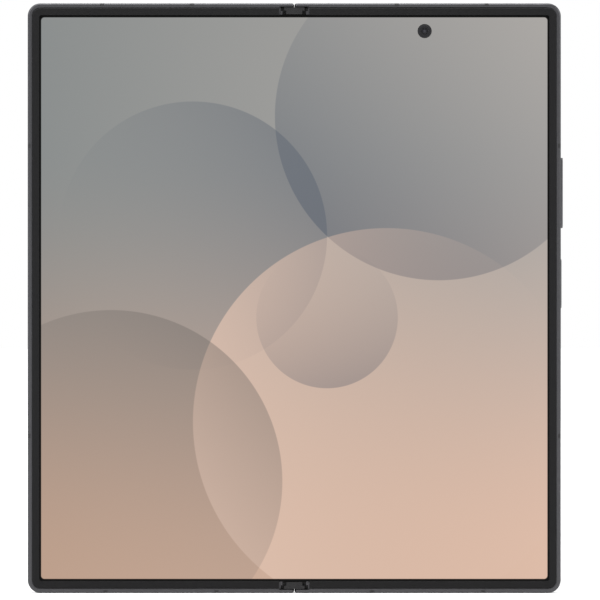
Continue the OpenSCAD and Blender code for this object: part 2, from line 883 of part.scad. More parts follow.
module earpiece_speaker() {
    color("#1a1a1a") stand_up() on_left() rounded_box(
        [board_x + 2, room_y - ear_w, cover_panel_z + cover_gap],
        [ear_x + ear_l - 2, wall_y - fit, cell_top_z], 1.5);
}

module sim_tray_holder() {
    side = tray_w / 2 + holder_wall;
    low_z = -tray_t / 2 + holder_gap;
    color("silver") stand_up() on_left() difference() {
        span([tray_x - side, half_h - tray_l - 1, low_z], [tray_x + side, wall_y - fit, cell_top_z]);
        span([tray_x - side + holder_wall, half_h - tray_l - 1 + holder_wall, low_z + holder_skin],
            [tray_x + side - holder_wall, wall_y + past, cell_top_z - holder_skin]);
    }
}

module sim_tray() {
    body_side = tray_w / 2 - 0.7;
    card_w = 8.9;
    card_l = 12.4;
    card_t = 0.65;
    tray_body_t = 0.9;
    tray_joint = 0.2;
    tray_pin_r = 0.4;
    color("#4a4a4c") stand_up() on_left() difference() {
        union() {
            along_y(half_h - tray_face_l, half_h) translate([tray_x, 0]) slot(tray_w, tray_t);
            span([tray_x - body_side, half_h - tray_l, -tray_body_t / 2],
                [tray_x + body_side, half_h - tray_face_l + tray_joint, tray_body_t / 2]);
        }
        span([tray_x - card_w / 2, half_h - tray_l + 1, tray_body_t / 2 - card_t],
            [tray_x + card_w / 2, half_h - tray_l + 1 + card_l, past]);
        along_y(half_h - tray_face_l - past / 2, half_h + past)
            translate([tray_x + tray_w / 2 - tray_t / 2, 0]) circle(tray_pin_r);
    }
}

module left_magnets() {
    color("#9a9ca0") stand_up() on_left() magnets();
}

module left_screws() {
    color("#c0c2c6") stand_up() on_left() screws(left_screw_places());
}

// ---------- hinge ----------

module spine_cover() {
    color("#3c3d40") stand_up() {
        along_y(-cap_y, cap_y) difference() {
            spine_section(spine_r, spine_z, lip_z);
            spine_section(spine_in_r, spine_floor_z, lip_z + past);
        }
        at_stations(false) translate([0, bracket_screw_y, spine_floor_z - seat]) difference() {
            cylinder(h = boss_l + seat, r = boss_r, $fn = 32);
            translate([0, 0, fit]) cylinder(h = past, r = bracket_screw_r, $fn = 32);
        }
    }
}

module spine_end_caps() {
    color("#3a3b3d") stand_up() for (s = [1, -1]) scale_y(s) {
        along_y(plug_y, cap_y + seat) {
            spine_section(spine_in_r - cap_fit, spine_floor_z, lip_z);
            translate([-cap_plug_half_w, lip_z - cap_overlap])
                square([2 * cap_plug_half_w, cap_z - lip_z + cap_overlap]);
        }
        along_y(cap_y, cap_y + cap_flange_l) {
            spine_section(spine_r, spine_z, lip_z);
            translate([-cap_half_w, lip_z - cap_overlap])
                square([2 * cap_half_w, cap_z - lip_z + cap_overlap]);
        }
    }
}

// ring-shaped room for one swing arm's rail, about its fold axis on side s
module rail_room(s, y0) {
    along_y(y0, y0 + slice_l) translate([s * fold_r, axis_z]) difference() {
        circle(rail_out_r + run_gap, $fn = 96);
        circle(rail_in_r - run_gap, $fn = 96);
    }
}

module hinge_brackets() {
    color("#77797d") stand_up() for (s = stations) translate([0, s[0], 0]) scale_y(s[1]) difference() {
        union() {
            along_y(bracket_low_y, s[2] ? bracket_top_y : 0)
                spine_section(spine_in_r - run_gap, spine_floor_z, bracket_z);
            span([-flange_half_w, bracket_low_y - flange_l, flange_low_z],
                [flange_half_w, bracket_low_y + plate_l / 2, flange_low_z + flange_t]);
        }
        rail_room(1, right_slice_y);
        rail_room(-1, left_slice_y);
        translate([0, bracket_screw_y, flange_low_z - past])
            cylinder(h = 3 * past, r = bracket_screw_r + seat, $fn = 32);
        if (s[2]) gear_room();
    }
}

// room in a bracket for the gears, the disc springs and the shafts
module gear_room() {
    span([-fold_r - spine_r, 0, gear_z - gear_tip_r - fit], [fold_r + spine_r, pocket_l, axis_z]);
    span([-sync_x - spring_r - fit, pocket_l + plate_l, gear_z - spring_r - fit],
        [sync_x + spring_r + fit, case_y, axis_z]);
    for (i = [-1.5:1:1.5]) along_y(-shaft_end_l, case_y + shaft_end_l)
        translate([i * 2 * gear_r, gear_z]) circle(shaft_r + shaft_fit, $fn = 24);
}

module bracket_screws() {
    head_z = flange_low_z + flange_t;
    color("#c0c2c6") stand_up() at_stations(false) translate([0, bracket_screw_y, 0]) {
        translate([0, 0, head_z]) cylinder(h = bracket_screw_head_t, r = bracket_screw_head_r, $fn = 32);
        translate([0, 0, spine_floor_z + fit + seat])
            cylinder(h = head_z - spine_floor_z - fit, r = bracket_screw_r - skin, $fn = 32);
    }
}

module gear_shafts() {
    color("#d0d2d6") stand_up() at_stations(true) for (i = [-1.5:1:1.5])
        along_y(-shaft_end_l + seat, (abs(i) > 1 ? case_y : pocket_l) + shaft_end_l - seat)
            translate([i * 2 * gear_r, gear_z]) circle(shaft_r, $fn = 24);
}

module disc_springs() {
    pitch = spring_l / spring_count;
    color("#b09a5a") stand_up() at_stations(true) for (s = [-1, 1], i = [0:spring_count - 1])
        along_y(pocket_l + plate_l + (i + 0.5) * pitch - spring_t / 2,
            pocket_l + plate_l + (i + 0.5) * pitch + spring_t / 2)
            translate([s * sync_x, gear_z]) difference() {
                circle(spring_r, $fn = 24);
                circle(shaft_r + gear_bore_gap, $fn = 24);
            }
}

// gear with straight-sided teeth; start is the angle of its first tooth, a quarter of the pitch on
// every gear, so that the teeth of two neighbours fall between each other
module gear_plan(start) {
    tooth_root = 0.29 * gear_module * 3.14;
    tooth_tip = 0.12 * gear_module * 3.14;
    difference() {
        union() {
            circle(gear_root_r, $fn = 32);
            for (i = [0:gear_teeth - 1]) rotate(start + i * 360 / gear_teeth) polygon([
                [gear_root_r * 0.8, -tooth_root], [gear_root_r, -tooth_root], [gear_tip_r, -tooth_tip],
                [gear_tip_r, tooth_tip], [gear_root_r, tooth_root], [gear_root_r * 0.8, tooth_root]
            ]);
        }
        circle(shaft_r + gear_bore_gap, $fn = 24);
    }
}

// a gear of the row; place is -1.5, -0.5, 0.5 or 1.5 steps from the middle
module gear(place) {
    side = (pocket_l - gear_l) / 2;
    along_y(side, side + gear_l) translate([place * 2 * gear_r, gear_z]) gear_plan(90 / gear_teeth);
}

module right_idler_gears() {
    color("#c8a850") stand_up() at_stations(true) gear(0.5);
}

module left_idler_gears() {
    color("#c8a850") stand_up() at_stations(true) gear(-0.5);
}

// arm that turns with its half: hub gear, a bar over the spine's edge, and a foot in the half's pocket
module sync_arm(s) {
    side = (pocket_l - gear_l) / 2;
    at_stations(true) {
        gear(s * 1.5);
        scale_x(s) along_y(side, side + gear_l) difference() {
            union() {
                translate([sync_x, bridge_low_z]) square([sync_step_x + sync_step_l / 2 - sync_x, bridge_t]);
                translate([sync_step_x, sync_low_z]) square([sync_step_l, bridge_top_z - sync_low_z]);
                translate([sync_step_x, sync_low_z]) square([sync_end_x - sync_step_x, sync_t]);
            }
            translate([sync_x, gear_z]) circle(shaft_r + gear_bore_gap, $fn = 24);
        }
    }
}

module scale_x(way) {
    if (way > 0) children();
    else mirror([1, 0, 0]) children();
}

module right_sync_arms() {
    color("#8a8d92") stand_up() sync_arm(1);
}

module left_sync_arms() {
    color("#8a8d92") stand_up() sync_arm(-1);
}

// curved rail about the fold axis, a bridge over the spine's edge, and a foot screwed to the half
module swing_arm(slice_y) {
    y0 = slice_y + run_gap * 2;
    y1 = slice_y + slice_l - run_gap * 2;
    at_stations(false) {
        along_y(y0, y1) {
            intersection() {
                translate([fold_r, axis_z]) difference() {
                    circle(rail_out_r, $fn = 96);
                    circle(rail_in_r, $fn = 96);
                }
                union() {
                    translate([fold_r - spine_r, spine_floor_z])
                        square([spine_r, bridge_low_z + bridge_t / 2 - spine_floor_z]);
                    translate([fold_r, spine_floor_z]) square([spine_r, bridge_top_z - spine_floor_z]);
                }
            }
            translate([fold_r + rail_in_r * 0.97, bridge_low_z])
                square([arm_x + arm_block_l - fold_r - rail_in_r * 0.97, bridge_t]);
            translate([arm_x, arm_low_z]) square([arm_block_l, bridge_top_z - arm_low_z]);
        }
        difference() {
            span([arm_x, slice_y - arm_foot_l, arm_low_z], [arm_plate_x, slice_y + slice_l, arm_plate_z]);
            for (y = arm_screw_ys(slice_y)) translate([arm_screw_x, y, arm_low_z - past])
                cylinder(h = 3 * past, r = arm_screw_r + seat, $fn = 24);
        }
    }
}

module right_swing_arms() {
    color("#8a8d92") stand_up() swing_arm(right_slice_y);
}

module left_swing_arms() {
    color("#8a8d92") stand_up() on_left() swing_arm(left_slice_y);
}

module arm_screws(slice_y) {
    at_stations(false) for (y = arm_screw_ys(slice_y)) translate([arm_screw_x, y, 0]) {
        translate([0, 0, arm_plate_z]) cylinder(h = arm_screw_head_t, r = arm_screw_head_r, $fn = 24);
        translate([0, 0, arm_low_z - arm_screw_l])
            cylinder(h = arm_plate_z + seat - arm_low_z + arm_screw_l, r = arm_screw_r - skin, $fn = 24);
    }
}

module right_hinge_screws() {
    color("#c0c2c6") stand_up() arm_screws(right_slice_y);
}

module left_hinge_screws() {
    color("#c0c2c6") stand_up() on_left() arm_screws(left_slice_y);
}

module wing() {
    difference() {
        along_y(-wing_y, wing_y) {
            translate([wing_in_x, midplate_z]) square([wing_x - wing_in_x, midplate_t]);
            translate([wing_x, wing_z]) circle(wing_bead_r, $fn = 24);
        }
        at_stations(false)
            span([wing_in_x - past, bracket_low_y + plate_l / 2, midplate_z - past],
                [notch_x, pocket_l + plate_l / 2, display_back_z + past]);
    }
}

module right_wing_plate() {
    color("#9c9ea2") stand_up() wing();
}

module left_wing_plate() {
    color("#9c9ea2") stand_up() on_left() wing();
}

module hinge_flex_cables() {
    color("#b8802e") stand_up() for (y = flex_y)
        span([-flex_x, y - flex_w / 2, board_top_z], [flex_x, y + flex_w / 2, board_top_z + flex_t]);
}

right_frame();
right_bezel();
right_antenna_bands();
rear_glass();
camera_plate();
camera_rings();
camera_lenses();
camera_modules();
camera_flash();
main_board();
board_shields();
main_battery();
charging_coil();
usb_port();
bottom_board();
loudspeaker();
vibration_motor();
microphones();
inner_camera();
side_key_switches();
right_magnets();
right_screws();
right_display_panel();
right_swing_arms();
right_hinge_screws();
volume_key();
power_key();
left_frame();
left_bezel();
left_antenna_bands();
cover_glass();
cover_display_panel();
cover_camera();
left_battery();
left_board();
left_board_shield();
earpiece_speaker();
sim_tray_holder();
sim_tray();
left_magnets();
left_screws();
left_display_panel();
left_swing_arms();
left_hinge_screws();
spine_cover();
spine_end_caps();
hinge_brackets();
bracket_screws();
gear_shafts();
disc_springs();
right_idler_gears();
left_idler_gears();
right_sync_arms();
left_sync_arms();
right_wing_plate();
left_wing_plate();
hinge_flex_cables();
display_bend_zone();
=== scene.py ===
# %% [markdown]
# # A foldable phone, open and flat
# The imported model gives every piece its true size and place, in metres, standing on its bottom edge
# with the inner display towards -Y. This lesson gives it edges, glass, metal and a lit display.
# Whole pieces that show are made again with finer edges. The rest of the model keeps its shape.

# %% Load the model
import bpy
import math
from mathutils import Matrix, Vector


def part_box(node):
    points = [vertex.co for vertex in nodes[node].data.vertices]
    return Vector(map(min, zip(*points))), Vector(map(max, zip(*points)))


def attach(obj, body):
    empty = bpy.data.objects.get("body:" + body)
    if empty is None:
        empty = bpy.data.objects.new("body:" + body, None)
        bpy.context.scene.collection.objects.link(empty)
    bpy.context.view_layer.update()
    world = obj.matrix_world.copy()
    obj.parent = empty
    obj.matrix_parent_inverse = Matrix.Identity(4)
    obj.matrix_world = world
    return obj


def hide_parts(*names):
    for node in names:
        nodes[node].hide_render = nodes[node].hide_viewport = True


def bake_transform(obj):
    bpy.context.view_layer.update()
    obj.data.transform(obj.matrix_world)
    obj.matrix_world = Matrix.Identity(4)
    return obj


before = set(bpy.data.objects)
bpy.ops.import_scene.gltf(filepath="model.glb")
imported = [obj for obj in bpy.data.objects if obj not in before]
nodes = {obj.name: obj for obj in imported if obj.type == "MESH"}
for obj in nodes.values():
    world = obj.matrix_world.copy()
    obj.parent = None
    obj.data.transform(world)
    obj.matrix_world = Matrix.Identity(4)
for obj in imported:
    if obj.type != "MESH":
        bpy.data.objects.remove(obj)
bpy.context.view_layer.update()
MM = 0.001
print("pieces in the model:", len(nodes))

# %% [markdown]
# ## Camera
# The phone was seen straight from the front with a long lens. At 1.2 m the picture is 161 mm wide,
# and a long lens keeps the edges parallel, which is why the sides of the body aren't seen.

# %% Camera
half_width, height = 71.6, 158.4
FACE_Y, RIM_FRONT = 2.1, -2.3
distance, seen_width = 1200, 161.07
CENTRE_X, CENTRE_Z = 1.536, 78.7
lens = bpy.data.cameras.new("front_camera")
lens.sensor_width = 36
lens.lens = lens.sensor_width * distance / seen_width
camera = bpy.data.objects.new("front_camera", lens)
bpy.context.scene.collection.objects.link(camera)
camera.location = (CENTRE_X * MM, -(distance + FACE_Y) * MM, CENTRE_Z * MM)
camera.rotation_euler = (math.radians(90), 0, 0)
bpy.context.scene.camera = camera
print("focal length", round(lens.lens, 1), "mm")

# %% [markdown]
# ## Helpers for nodes
# Most finishes here are one shader with a little grain. `tone` turns a screen colour of 0 to 255 into
# the linear values that the shader works in, and `wire` joins two sockets.

# %% Helpers for nodes
def tone(red, green, blue):
    linear = [c / 255 / 12.92 if c < 10.3 else ((c / 255 + 0.055) / 1.055) ** 2.4
              for c in (red, green, blue)]
    return (*linear, 1)


def new_material(name):
    material = bpy.data.materials.new(name)
    material.use_nodes = True
    return material, material.node_tree, material.node_tree.nodes["Principled BSDF"]


def wire(tree, source, target):
    tree.links.new(source, target)


def number(tree, operation, first, second=None, clamp=False):
    node = tree.nodes.new("ShaderNodeMath")
    node.operation, node.use_clamp = operation, clamp
    for socket, value in zip(node.inputs, (first, second)):
        if isinstance(value, (int, float)):
            socket.default_value = value
        elif value is not None:
            wire(tree, value, socket)
    return node.outputs[0]


def blend_colours(tree, share, first, second):
    node = tree.nodes.new("ShaderNodeMix")
    node.data_type = "RGBA"
    sockets = node.inputs[0], node.inputs[6], node.inputs[7]
    for socket, value in zip(sockets, (share, first, second)):
        if isinstance(value, (tuple, float, int)):
            socket.default_value = value
        else:
            wire(tree, value, socket)
    return node.outputs[2]


def place_on_piece(tree, scale=(1, 1, 1), shift=(0, 0, 0)):
    spot = tree.nodes.new("ShaderNodeTexCoord")
    mapping = tree.nodes.new("ShaderNodeMapping")
    mapping.inputs["Scale"].default_value = scale
    mapping.inputs["Location"].default_value = shift
    wire(tree, spot.outputs["Object"], mapping.inputs["Vector"])
    return mapping.outputs[0]


def noise(tree, where, size_mm, detail=2.0):
    node = tree.nodes.new("ShaderNodeTexNoise")
    node.inputs["Scale"].default_value = 1 / (size_mm * MM)
    node.inputs["Detail"].default_value = detail
    wire(tree, where, node.inputs["Vector"])
    return node.outputs["Fac"]


def stretch_range(tree, value, low, high):
    node = tree.nodes.new("ShaderNodeMapRange")
    node.inputs["From Min"].default_value = 0.3
    node.inputs["From Max"].default_value = 0.7
    node.inputs["To Min"].default_value = low
    node.inputs["To Max"].default_value = high
    wire(tree, value, node.inputs["Value"])
    return node.outputs[0]


def raise_grain(tree, shader, height_value, depth_mm, strength=0.5):
    node = tree.nodes.new("ShaderNodeBump")
    node.inputs["Strength"].default_value = strength
    node.inputs["Distance"].default_value = depth_mm * MM
    wire(tree, height_value, node.inputs["Height"])
    wire(tree, node.outputs[0], shader.inputs["Normal"])


print("node helpers are ready")

# %% [markdown]
# ## Grained finishes
# Blasted and anodised metal, moulded plastic and frosted glass differ in shine and in the size of their
# grain, but all are an even colour broken by a fine texture. One maker with a few measures serves them
# all: two shades for the colour, two for the roughness, and a grain of a stated size and depth.

# %% Grained finishes
CLOUD_TO_GRAIN, GRAIN_STRENGTH = 12, 0.35


def grained(name, dark, light, rough, grain_mm, depth_mm, metal=0.0, stretched=(1, 1, 1), shine=0.5):
    """Two shades in soft clouds, and a fine grain that varies the roughness and raises the surface."""
    material, tree, shader = new_material(name)
    where = place_on_piece(tree, stretched)
    cloud = noise(tree, where, grain_mm * CLOUD_TO_GRAIN, 3)
    fine = noise(tree, where, grain_mm, 4)
    wire(tree, blend_colours(tree, cloud, (*dark, 1), (*light, 1)), shader.inputs["Base Color"])
    wire(tree, stretch_range(tree, fine, rough[0], rough[1]), shader.inputs["Roughness"])
    shader.inputs["Metallic"].default_value = metal
    shader.inputs["Specular IOR Level"].default_value = shine
    raise_grain(tree, shader, fine, depth_mm, GRAIN_STRENGTH)
    return material


graphite = grained(
    "graphite_metal", (0.062, 0.062, 0.066), (0.078, 0.078, 0.083), (0.26, 0.34), 0.12, 0.002, 1)
key_metal = grained(
    "key_metal", (0.075, 0.075, 0.08), (0.09, 0.09, 0.095), (0.26, 0.34), 0.12, 0.002, 1)
spine_metal = grained(
    "spine_metal", (0.06, 0.06, 0.064), (0.075, 0.075, 0.08), (0.22, 0.32), 0.1, 0.002, 1)
camera_metal = grained(
    "camera_metal", (0.04, 0.04, 0.043), (0.052, 0.052, 0.056), (0.2, 0.28), 0.1, 0.002, 1)
rim_plastic = grained(
    "rim_plastic", (0.0075, 0.0075, 0.008), (0.0105, 0.0105, 0.011), (0.42, 0.52), 0.1, 0.004,
    shine=0.12)
band_plastic = grained(
    "band_plastic", (0.022, 0.022, 0.023), (0.028, 0.028, 0.03), (0.4, 0.5), 0.1, 0.003, shine=0.25)
cap_plastic = grained(
    "cap_plastic", (0.014, 0.014, 0.015), (0.022, 0.022, 0.023), (0.36, 0.46), 0.1, 0.003, shine=0.2)
frosted_back = grained(
    "frosted_back", (0.012, 0.012, 0.014), (0.017, 0.017, 0.02), (0.3, 0.38), 0.06, 0.001, shine=0.3)
black_glass = grained(
    "black_glass", (0.002, 0.002, 0.0025), (0.0035, 0.0035, 0.004), (0.04, 0.07), 3, 0.0003, shine=0.22)
camera_black = grained(
    "camera_black", (0.006, 0.006, 0.008), (0.01, 0.01, 0.012), (0.28, 0.4), 0.1, 0.003, shine=0.25)
speaker_black = grained(
    "speaker_black", (0.01, 0.01, 0.01), (0.016, 0.016, 0.016), (0.5, 0.65), 0.15, 0.01)
battery_wrap = grained(
    "battery_wrap", (0.024, 0.026, 0.03), (0.036, 0.038, 0.043), (0.35, 0.55), 1.2, 0.05)
print("grained finishes:", len([m for m in bpy.data.materials if m.use_nodes]))

# %% [markdown]
# ## Steel inside the hinge
# Rolled, stamped and sintered steel show fine lines along the way they were worked. The same grain is
# stretched along the phone, so that it draws lines instead of specks.

# %% Steel
ALONG = (1, 1, 0.06)
hinge_steel = grained(
    "hinge_steel", (0.3, 0.3, 0.315), (0.42, 0.42, 0.44), (0.28, 0.42), 0.1, 0.004, 1)
spring_steel = grained(
    "spring_steel", (0.38, 0.33, 0.22), (0.5, 0.44, 0.32), (0.25, 0.36), 0.1, 0.003, 1, ALONG)
wing_steel = grained(
    "wing_steel", (0.42, 0.42, 0.44), (0.52, 0.52, 0.54), (0.25, 0.4), 0.12, 0.004, 1, ALONG)
screw_steel = grained(
    "screw_steel", (0.5, 0.5, 0.52), (0.64, 0.64, 0.66), (0.22, 0.34), 0.08, 0.003, 1)
shield_steel = grained(
    "shield_steel", (0.5, 0.5, 0.51), (0.6, 0.6, 0.61), (0.3, 0.42), 0.3, 0.01, 1, ALONG)
socket_steel = grained(
    "socket_steel", (0.45, 0.45, 0.46), (0.58, 0.58, 0.59), (0.2, 0.32), 0.08, 0.002, 1)
magnet_nickel = grained(
    "magnet_nickel", (0.55, 0.55, 0.56), (0.66, 0.66, 0.67), (0.12, 0.22), 0.2, 0.003, 1)
gear_steel = grained("gear_steel", (0.5, 0.44, 0.3), (0.62, 0.55, 0.4), (0.24, 0.34), 0.08, 0.003, 1)
print("steels ready")

# %% [markdown]
# ## Boards, coil and film
# A circuit board shows lacquered copper under green mask, in straight runs. A charging coil is a flat
# spiral of wire, which rings about the coil's own centre stand for. The flexible film shows its copper
# lines along its length.

# %% Boards, coil and film
def board_green():
    material, tree, shader = new_material("board_mask")
    where = place_on_piece(tree)
    tracks = tree.nodes.new("ShaderNodeTexBrick")
    layout = (("Scale", 220), ("Mortar Size", 0.03), ("Brick Width", 1.7), ("Row Height", 0.22))
    for name, value in layout:
        tracks.inputs[name].default_value = value
    tracks.inputs["Color1"].default_value = (0.012, 0.075, 0.042, 1)
    tracks.inputs["Color2"].default_value = (0.016, 0.1, 0.055, 1)
    tracks.inputs["Mortar"].default_value = (0.03, 0.16, 0.09, 1)
    turned = tree.nodes.new("ShaderNodeMapping")
    turned.inputs["Rotation"].default_value = (math.radians(90), 0, 0)
    wire(tree, where, turned.inputs["Vector"])
    wire(tree, turned.outputs[0], tracks.inputs["Vector"])
    wire(tree, tracks.outputs["Color"], shader.inputs["Base Color"])
    wire(tree, stretch_range(tree, noise(tree, where, 0.6), 0.3, 0.42), shader.inputs["Roughness"])
    raise_grain(tree, shader, tracks.outputs["Fac"], 0.01, 0.4)
    return material


def coil_copper(centre):
    material, tree, shader = new_material("coil_copper")
    where = place_on_piece(tree, (1, 0, 1), (-centre[0], 0, -centre[2]))
    turns = tree.nodes.new("ShaderNodeTexWave")
    turns.wave_type, turns.rings_direction = "RINGS", "SPHERICAL"
    turns.inputs["Scale"].default_value = 1 / (6 * MM)
    wire(tree, where, turns.inputs["Vector"])
    colour = blend_colours(tree, turns.outputs["Fac"], (0.2, 0.08, 0.03, 1), (0.55, 0.26, 0.11, 1))
    wire(tree, colour, shader.inputs["Base Color"])
    wire(tree, stretch_range(tree, turns.outputs["Fac"], 0.3, 0.45), shader.inputs["Roughness"])
    shader.inputs["Metallic"].default_value = 0.8
    raise_grain(tree, shader, turns.outputs["Fac"], 0.05)
    return material


def copper_film():
    material, tree, shader = new_material("copper_film")
    where = place_on_piece(tree)
    lines = tree.nodes.new("ShaderNodeTexWave")
    lines.bands_direction = "Z"
    lines.inputs["Scale"].default_value = 1 / (3 * MM)
    wire(tree, where, lines.inputs["Vector"])
    colour = blend_colours(tree, lines.outputs["Fac"], (0.3, 0.12, 0.025, 1), (0.5, 0.26, 0.08, 1))
    wire(tree, colour, shader.inputs["Base Color"])
    wire(tree, stretch_range(tree, noise(tree, where, 0.5), 0.28, 0.4), shader.inputs["Roughness"])
    raise_grain(tree, shader, lines.outputs["Fac"], 0.02)
    return material


coil_low, coil_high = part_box("charging_coil")
board_mask, film = board_green(), copper_film()
coil_wire = coil_copper((coil_low + coil_high) / 2)
print("coil centre, mm:", [round(c / MM, 1) for c in (coil_low + coil_high) / 2])

# %% [markdown]
# ## Finishes for the pieces that keep their shape
# A model piece is given its finish by filling its material slots. Its mesh isn't touched.

# %% Finish the pieces that keep their shape
def finish_nodes(material, *names):
    for name in names:
        for slot in nodes[name].material_slots:
            slot.material = material


finish_nodes(camera_black, "camera_modules", "cover_camera")
finish_nodes(board_mask, "main_board", "bottom_board", "left_board")
finish_nodes(shield_steel, "board_shields", "left_board_shield", "sim_tray_holder", "vibration_motor")
finish_nodes(battery_wrap, "main_battery", "left_battery")
finish_nodes(coil_wire, "charging_coil")
finish_nodes(speaker_black, "loudspeaker", "earpiece_speaker")
finish_nodes(film, "side_key_switches")
finish_nodes(magnet_nickel, "right_magnets", "left_magnets")
finish_nodes(screw_steel, "right_screws", "left_screws", "right_hinge_screws", "left_hinge_screws")
finish_nodes(screw_steel, "bracket_screws", "gear_shafts")
finish_nodes(gear_steel, "microphones", "right_idler_gears", "left_idler_gears")
finish_nodes(hinge_steel, "hinge_brackets", "right_swing_arms", "left_swing_arms")
finish_nodes(hinge_steel, "right_sync_arms", "left_sync_arms")
finish_nodes(spring_steel, "disc_springs")
finish_nodes(socket_steel, "usb_port")
finish_nodes(black_glass, "cover_display_panel")
print("model pieces finished")

# %% [markdown]
# ## Helpers for shaping
# An operator works on all that is selected, so each step first clears the selection. Faces and edges
# are then picked by a rule on their corners, as a hand would click on them. Places less than `CLOSE`
# apart, in mm, count as the same.

# %% Helpers for shaping
CLOSE = 0.01


def only(piece):
    if bpy.context.object and bpy.context.object.mode != "OBJECT":
        bpy.ops.object.mode_set(mode="OBJECT")
    bpy.ops.object.select_all(action="DESELECT")
    piece.hide_set(False)
    piece.select_set(True)
    bpy.context.view_layer.objects.active = piece


def settle(piece):
    only(piece)
    bpy.ops.object.transform_apply(location=True, rotation=True, scale=True)
    return piece


def block(name, low, high):
    middle = [(a + b) / 2 * MM for a, b in zip(low, high)]
    bpy.ops.object.select_all(action="DESELECT")
    bpy.ops.mesh.primitive_cube_add(size=1, location=middle)
    piece = bpy.context.object
    piece.name = piece.data.name = name
    piece.scale = [(b - a) * MM for a, b in zip(low, high)]
    return settle(piece)


def disc(name, centre, radius, depth, sides=64):
    bpy.ops.object.select_all(action="DESELECT")
    bpy.ops.mesh.primitive_cylinder_add(
        vertices=sides, radius=radius * MM, depth=depth * MM, location=[c * MM for c in centre],
        rotation=(math.radians(90), 0, 0))
    piece = bpy.context.object
    piece.name = piece.data.name = name
    return settle(piece)


def pick(piece, mode, rule):
    only(piece)
    bpy.ops.object.mode_set(mode="EDIT")
    bpy.ops.mesh.select_mode(type=mode)
    bpy.ops.mesh.select_all(action="DESELECT")
    bpy.ops.object.mode_set(mode="OBJECT")
    mesh = piece.data
    parts = {"FACE": mesh.polygons, "EDGE": mesh.edges}[mode]
    picked = 0
    for part in parts:
        corners = [[c / MM for c in mesh.vertices[i].co] for i in part.vertices]
        if rule(part, corners):
            part.select = True
            picked += 1
    bpy.ops.object.mode_set(mode="EDIT")
    return picked


def done():
    bpy.ops.object.mode_set(mode="OBJECT")


def dress(piece, material, angle=35):
    piece.data.materials.clear()
    piece.data.materials.append(material)
    only(piece)
    bpy.ops.object.shade_smooth_by_angle(angle=math.radians(angle))
    return piece


def keep_flats_flat(piece):
    """Leans the shading of small rounds on the large flat faces beside them, which then look flat."""
    only(piece)
    weights = piece.modifiers.new("weights", "WEIGHTED_NORMAL")
    weights.keep_sharp = True
    bpy.ops.object.modifier_apply(modifier="weights")


def facing(direction):
    return lambda face, corners: sum(a * b for a, b in zip(face.normal, direction)) > 0.9


def bevel(width_mm, steps, **more):
    bpy.ops.mesh.bevel(offset=width_mm * MM, segments=steps, affect="EDGES", **more)
    done()


def combine(piece, other, operation):
    """Joins the other piece on, takes it off or keeps what both share, and applies the Boolean."""
    only(piece)
    change = piece.modifiers.new("change", "BOOLEAN")
    change.object, change.operation, change.solver = other, operation, "EXACT"
    bpy.ops.object.modifier_apply(modifier="change")


print("shaping helpers are ready")

# %% [markdown]
# ## Copies with finer edges
# Holes, slots and hinge room must stay where the model has them. So a copy of the model's mesh is joined
# up at its corners, its flat faces are made whole again, and the edges that a rule picks are bevelled.
# Cutting such a piece anew from a block would only lose accuracy.

# %% Copies with finer edges
def model_copy(node, name):
    piece = bpy.data.objects.new(name, nodes[node].data.copy())
    piece.data.name = name
    bpy.context.scene.collection.objects.link(piece)
    only(piece)
    bpy.ops.object.mode_set(mode="EDIT")
    bpy.ops.mesh.select_all(action="SELECT")
    bpy.ops.mesh.remove_doubles(threshold=1e-6)
    bpy.ops.mesh.dissolve_limited(angle_limit=math.radians(0.5))
    done()
    return piece


def finer_copy(node, name, *bevels):
    """A copy of a model piece, with each (rule, width in mm, steps) of bevels cut in turn."""
    piece = model_copy(node, name)
    for rule, width, steps in bevels:
        edges = pick(piece, "EDGE", rule)
        bevel(width, steps, clamp_overlap=False)
        print(name, "edges bevelled:", edges)
    return piece


CORNER_ROUND = 3.5


def to_outline(corner):
    """How far inside the outline of the open phone a corner lies, in mm."""
    past_x = abs(corner[0]) - half_width
    past_z = abs(corner[2] - height / 2) - height / 2
    if past_x > -CORNER_ROUND and past_z > -CORNER_ROUND:
        return CORNER_ROUND - math.hypot(past_x + CORNER_ROUND, past_z + CORNER_ROUND)
    return min(-past_x, -past_z)


print("gap from a corner to the outline:", round(to_outline((71.6, 0, 79.2)), 3), "mm")

# %% [markdown]
# ## The outer shape of a half
# The outside of a half is turned over by one round cutter that runs along its edges, across the metal,
# the plastic bands and the card tray alike. So one solid has that outer shape, and what lies outside
# it is taken off each piece with a Boolean. At the fold the corners are rounded too, which leaves a
# small notch in the outline.

# %% The outer shape of a half
FOLD_ROUND, EDGE_ROUND, BACK_ROUND = 0.7, 0.6, 0.45
SEAM, SPARE = 0.05, 0.003


def runs_through(edge, corners):
    return abs(corners[0][1] - corners[1][1]) > 1


def on_face(edge, corners):
    flat = abs(corners[0][1] - corners[1][1]) < CLOSE
    return flat and any(abs(c[0]) > SEAM + CLOSE for c in corners)


def outer_shape(sign):
    ends = sorted((sign * (SEAM - SPARE), sign * (half_width + SPARE)))
    shape = block("outer_shape", (ends[0], -FACE_Y - SPARE, -SPARE),
                  (ends[1], FACE_Y + SPARE, height + SPARE))
    for at_fold, radius, steps in ((False, CORNER_ROUND, 22), (True, FOLD_ROUND, 8)):
        pick(shape, "EDGE", lambda edge, cs: runs_through(edge, cs) and (abs(cs[0][0]) < 1) == at_fold)
        bevel(radius, steps)
    for front, radius in ((True, EDGE_ROUND), (False, BACK_ROUND)):
        pick(shape, "EDGE", lambda edge, cs: on_face(edge, cs) and (cs[0][1] < 0) == front)
        bevel(radius, 6)
    return shape


shapes = {"right": outer_shape(1), "left": outer_shape(-1)}
print("faces of an outer shape:", len(shapes["right"].data.polygons))

# %% [markdown]
# ## Metal frames, bands and card tray
# Each half is one milled frame, blasted and anodised to a dark grey. Plastic bands fill the slots that
# split it into antennas. The tray's face is ground together with the frame, so it ends flush with it.

